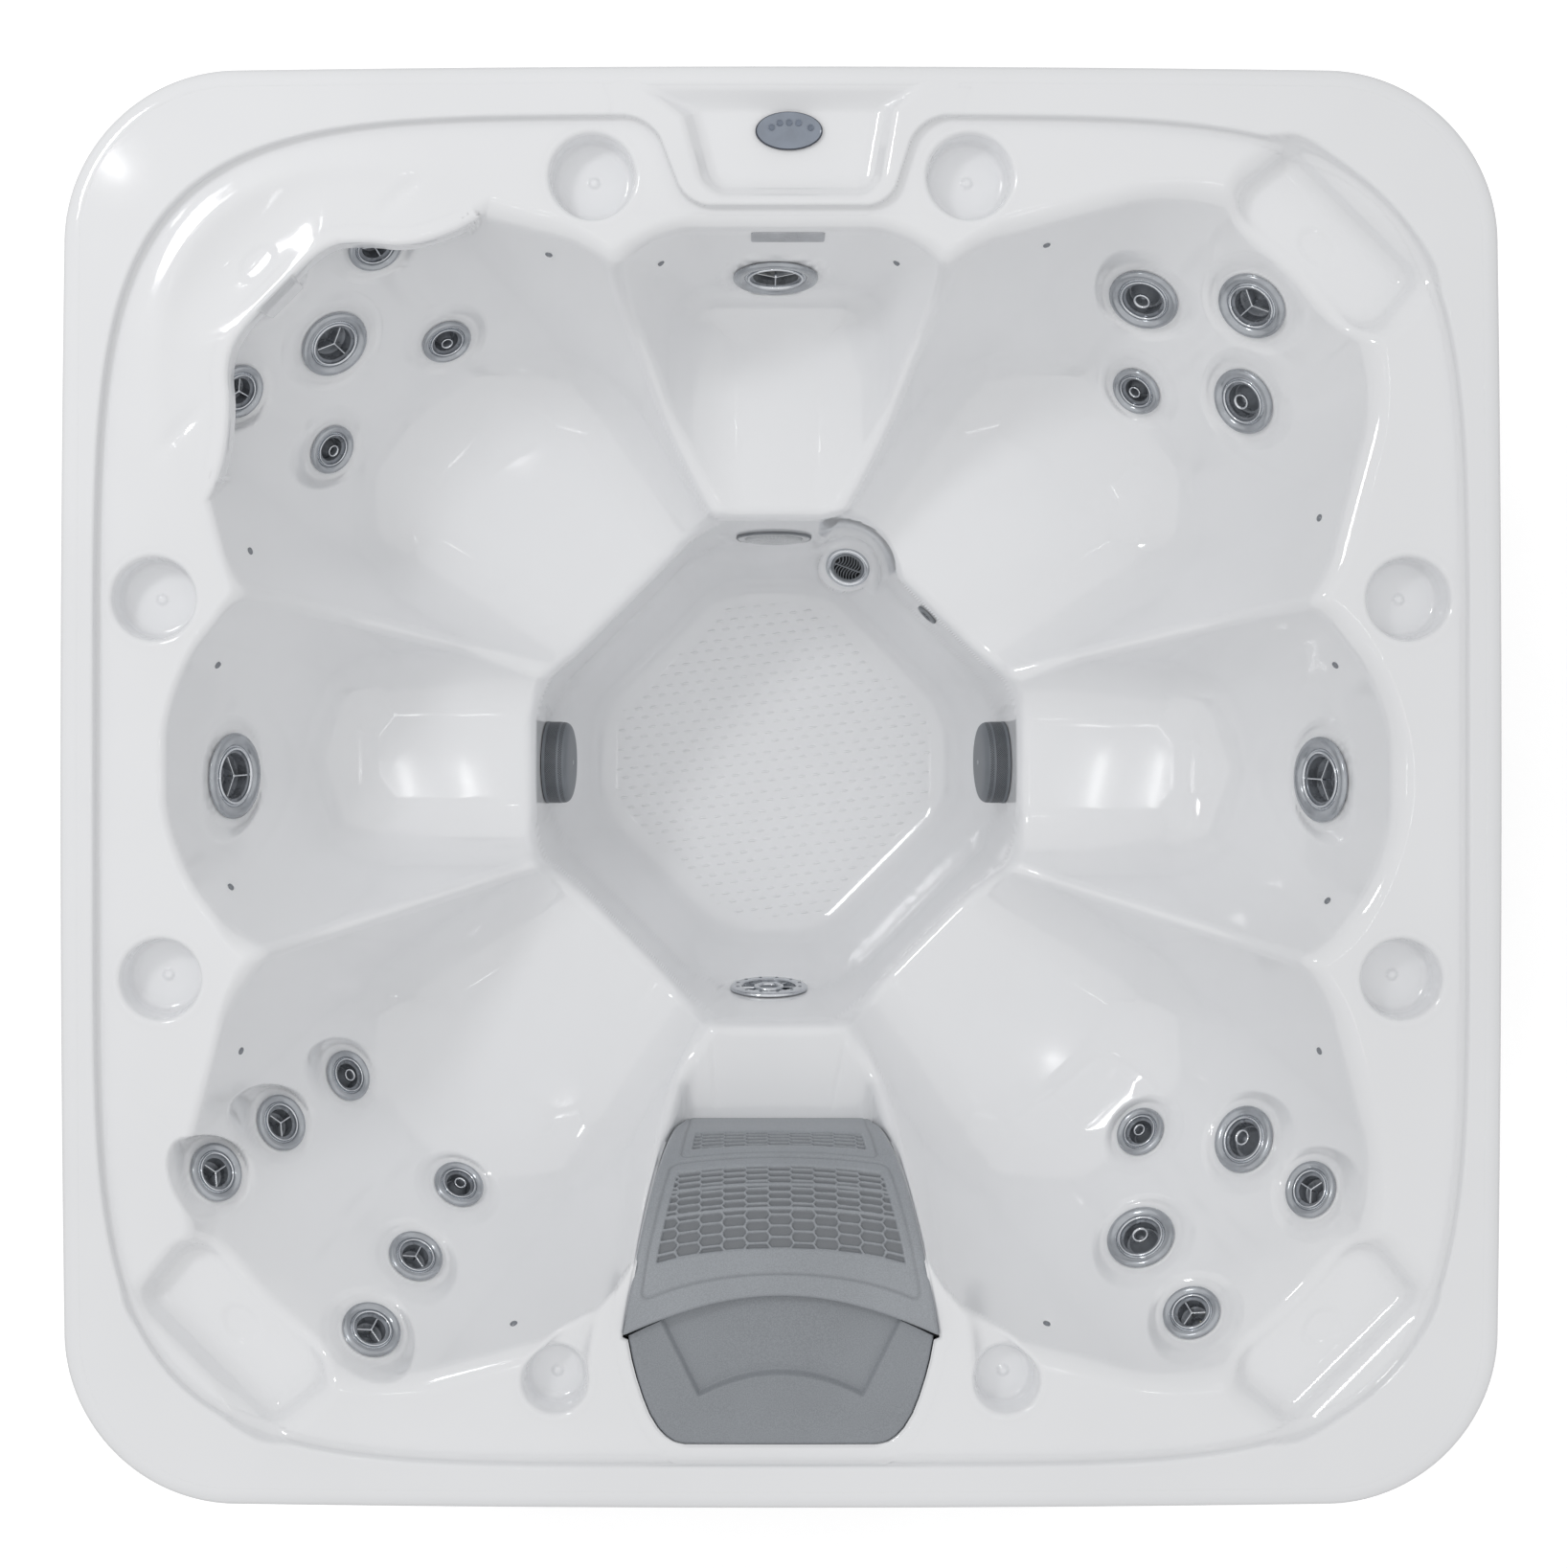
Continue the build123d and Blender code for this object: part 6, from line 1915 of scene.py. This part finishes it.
    def cartridge(self) -> list[Sheet]:
        """A pleated cylinder between two end caps: the radius swings with eighty pleats."""
        angle = np.linspace(0, 2 * np.pi, 481)
        height = np.array([300.0, 306, 360, 480, 600, 700, 722, 728])[:, None]
        swing = np.abs(((angle * 80 / (2 * np.pi)) % 1) - 0.5) * 2
        radius = 66 + 7.6 * swing
        pleats = np.stack([radius * np.cos(angle) + 0 * height, radius * np.sin(angle) - 800 + 0 * height,
                           height + 0 * angle], -1)
        sheets = [Sheet(pleats)]
        for low, high in ((286, 300), (728, 742)):
            line = [(0, low), (78, low), (80, low + 2), (80, high - 2), (78, high), (0, high)]
            cap = turned(line, 72, 1, 1)
            sheets += shift(0, -800).carry(cap)
        handle = box_sheet((-45, -806, 741), (45, -794, 760), 3, 1)
        return [*sheets, handle]


# Cabinet and equipment
class Cabinet:
    """The cabinet and equipment: solids whose shapes stand, in their own finishes."""

    def build(self, finishes: Finishes) -> None:
        """Dress the carried-over solids."""
        dress = {
            "side_panels": finishes.boards, "access_panel": finishes.boards, "corner_posts": finishes.boards,
            "base_pan": finishes.black_base, "frame": finishes.timber, "panel_screws": finishes.screw,
            "pump_motor": finishes.motor, "pump_wet_end": finishes.pump, "impeller": finishes.pump,
            "heater": finishes.steel, "control_box": finishes.box, "pipework": finishes.pvc,
            "drain_valve": finishes.pvc, "drain_cap": finishes.dark, "jet_bodies": finishes.pvc,
            "suction_fittings": finishes.pvc, "light_housing": finishes.dark, "bare_plate": finishes.plate,
            "filter_canister": finishes.filter_grey, "weir_flap": finishes.grey,
        }
        for name, finish in dress.items():
            node = frame["nodes"][name]
            for slot in node.material_slots:
                slot.material = finish
            log.info("%s: dressed", name)


# Studio
@dataclass
class Studio:
    """The camera above the tub, soft lamps, a white surround and a pale floor."""

    eye: tuple[float, float, float] = (-0.058, 0.188, 4.302)
    lens: float = 53.0
    shift: tuple[float, float] = (0.0266, -0.0791)
    dome: tuple[float, float] = (0.36, 0.76)
    glow: float = 0.5
    window_height: float = 4.35
    windows: tuple[tuple[float, float, float, float, float], ...] = (
        (-0.83, 0.89, 0.05, 0.08, 0.12), (0.92, 0.97, 0.05, 0.09, 0.14), (-0.65, -1.35, 0.05, 0.08, 0.12),
        (1.0, -1.17, 0.05, 0.08, 0.12), (-1.16, -0.3, 0.3, 0.028, 0.26), (-0.95, -0.3, 0.3, 0.028, 0.26),
        (1.12, -0.27, 0.3, 0.028, 0.26), (1.32, -0.27, 0.3, 0.028, 0.26), (-1.93, 1.66, 0.05, 0.1, 0.2))

    def build(self) -> None:
        """Build the studio."""
        scene = bpy.context.scene
        scene.view_settings.view_transform = "Standard"
        camera = bpy.data.objects.new("camera", bpy.data.cameras.new("camera"))
        camera.location = self.eye
        camera.data.lens = self.lens
        camera.data.sensor_width = 36
        camera.data.sensor_fit = "HORIZONTAL"
        camera.data.shift_x, camera.data.shift_y = self.shift
        scene.collection.objects.link(camera)
        scene.camera = camera
        self.lamp("key", (-2.7, 2.2, 4.4), 0.9, 0.7, 30)
        for number, (x, y, width, height, power) in enumerate(self.windows):
            self.lamp(f"window_{number}", (x, y, self.window_height), width, height, power)
        self.world()
        self.floor()

    def lamp(self, name: str, place: tuple[float, float, float], width: float, height: float,
             power: float) -> None:
        """A soft rectangular lamp that faces the tub."""
        light = bpy.data.lights.new(name, "AREA")
        light.shape = "RECTANGLE"
        light.size, light.size_y, light.energy = width, height, power
        lamp = bpy.data.objects.new(name, light)
        lamp.location = place
        lamp.rotation_euler = (Vector((0, 0, 0.5)) - Vector(place)).to_track_quat("-Z", "Y").to_euler()
        bpy.context.scene.collection.objects.link(lamp)

    def world(self) -> None:
        """White where it is seen or mirrored, and softer where it only lights."""
        world = bpy.data.worlds.new("surround")
        bpy.context.scene.world = world
        world.use_nodes = True
        bench = NodeBench(world.node_tree)
        background = world.node_tree.nodes["Background"]
        path = bench.add("ShaderNodeLightPath")
        mirrored = bench.math("MAXIMUM", path.outputs["Is Glossy Ray"], path.outputs["Is Transmission Ray"])
        seen = bench.math("MAXIMUM", path.outputs["Is Camera Ray"], mirrored)
        coordinates = bench.add("ShaderNodeTexCoord")
        split = bench.add("ShaderNodeSeparateXYZ", {"Vector": coordinates.outputs["Generated"]})
        dome = bench.spread(split.outputs["Z"], 0.1, 0.6, *self.dome)
        lit = bench.math("MULTIPLY", dome, bench.math("SUBTRACT", 1.0, seen))
        strength = bench.math("ADD", lit, seen)
        background.inputs["Color"].default_value = (1, 1, 1, 1)
        world.node_tree.links.new(strength, background.inputs["Strength"])

    def floor(self) -> None:
        """A wide pale floor that keeps the tub's shadow and is white where it is seen lit."""
        mesh = bpy.data.meshes.new("floor")
        corners = ((-9, -9), (9, -9), (9, 9), (-9, 9))
        mesh.from_pydata([(*corner, -0.001) for corner in corners], [], [(0, 1, 2, 3)])
        floor = bpy.data.objects.new("floor", mesh)
        material = bpy.data.materials.new("pale_floor")
        material.use_nodes = True
        bench = NodeBench(material.node_tree)
        shader = material.node_tree.nodes["Principled BSDF"]
        path = bench.add("ShaderNodeLightPath")
        coordinates = bench.add("ShaderNodeTexCoord")
        grain = bench.add("ShaderNodeTexNoise", {"Vector": coordinates.outputs["Object"], "Scale": 6.0})
        colour = bench.blend(grain.outputs[0], srgb(240, 240, 240), srgb(244, 244, 244))
        material.node_tree.links.new(colour, shader.inputs["Base Color"])
        shader.inputs["Roughness"].default_value = 0.9
        glow = bench.math("MULTIPLY", path.outputs["Is Camera Ray"], self.glow)
        shader.inputs["Emission Color"].default_value = (1, 1, 1, 1)
        material.node_tree.links.new(glow, shader.inputs["Emission Strength"])
        floor.data.materials.append(material)
        bpy.context.scene.collection.objects.link(floor)


def main() -> None:
    """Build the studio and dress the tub."""
    logging.basicConfig(level=logging.INFO, format="%(name)s %(message)s")
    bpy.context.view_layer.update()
    Studio().build()
    finishes = Finishes()
    Cabinet().build(finishes)
    Shell().build(finishes)
    for jet in JETS:
        JetFace(jet).build(finishes)
    FootwellFittings().build(finishes)
    ControlPanel().build(finishes)
    FilterCover().build(finishes)


if __name__ == "__main__":
    main()
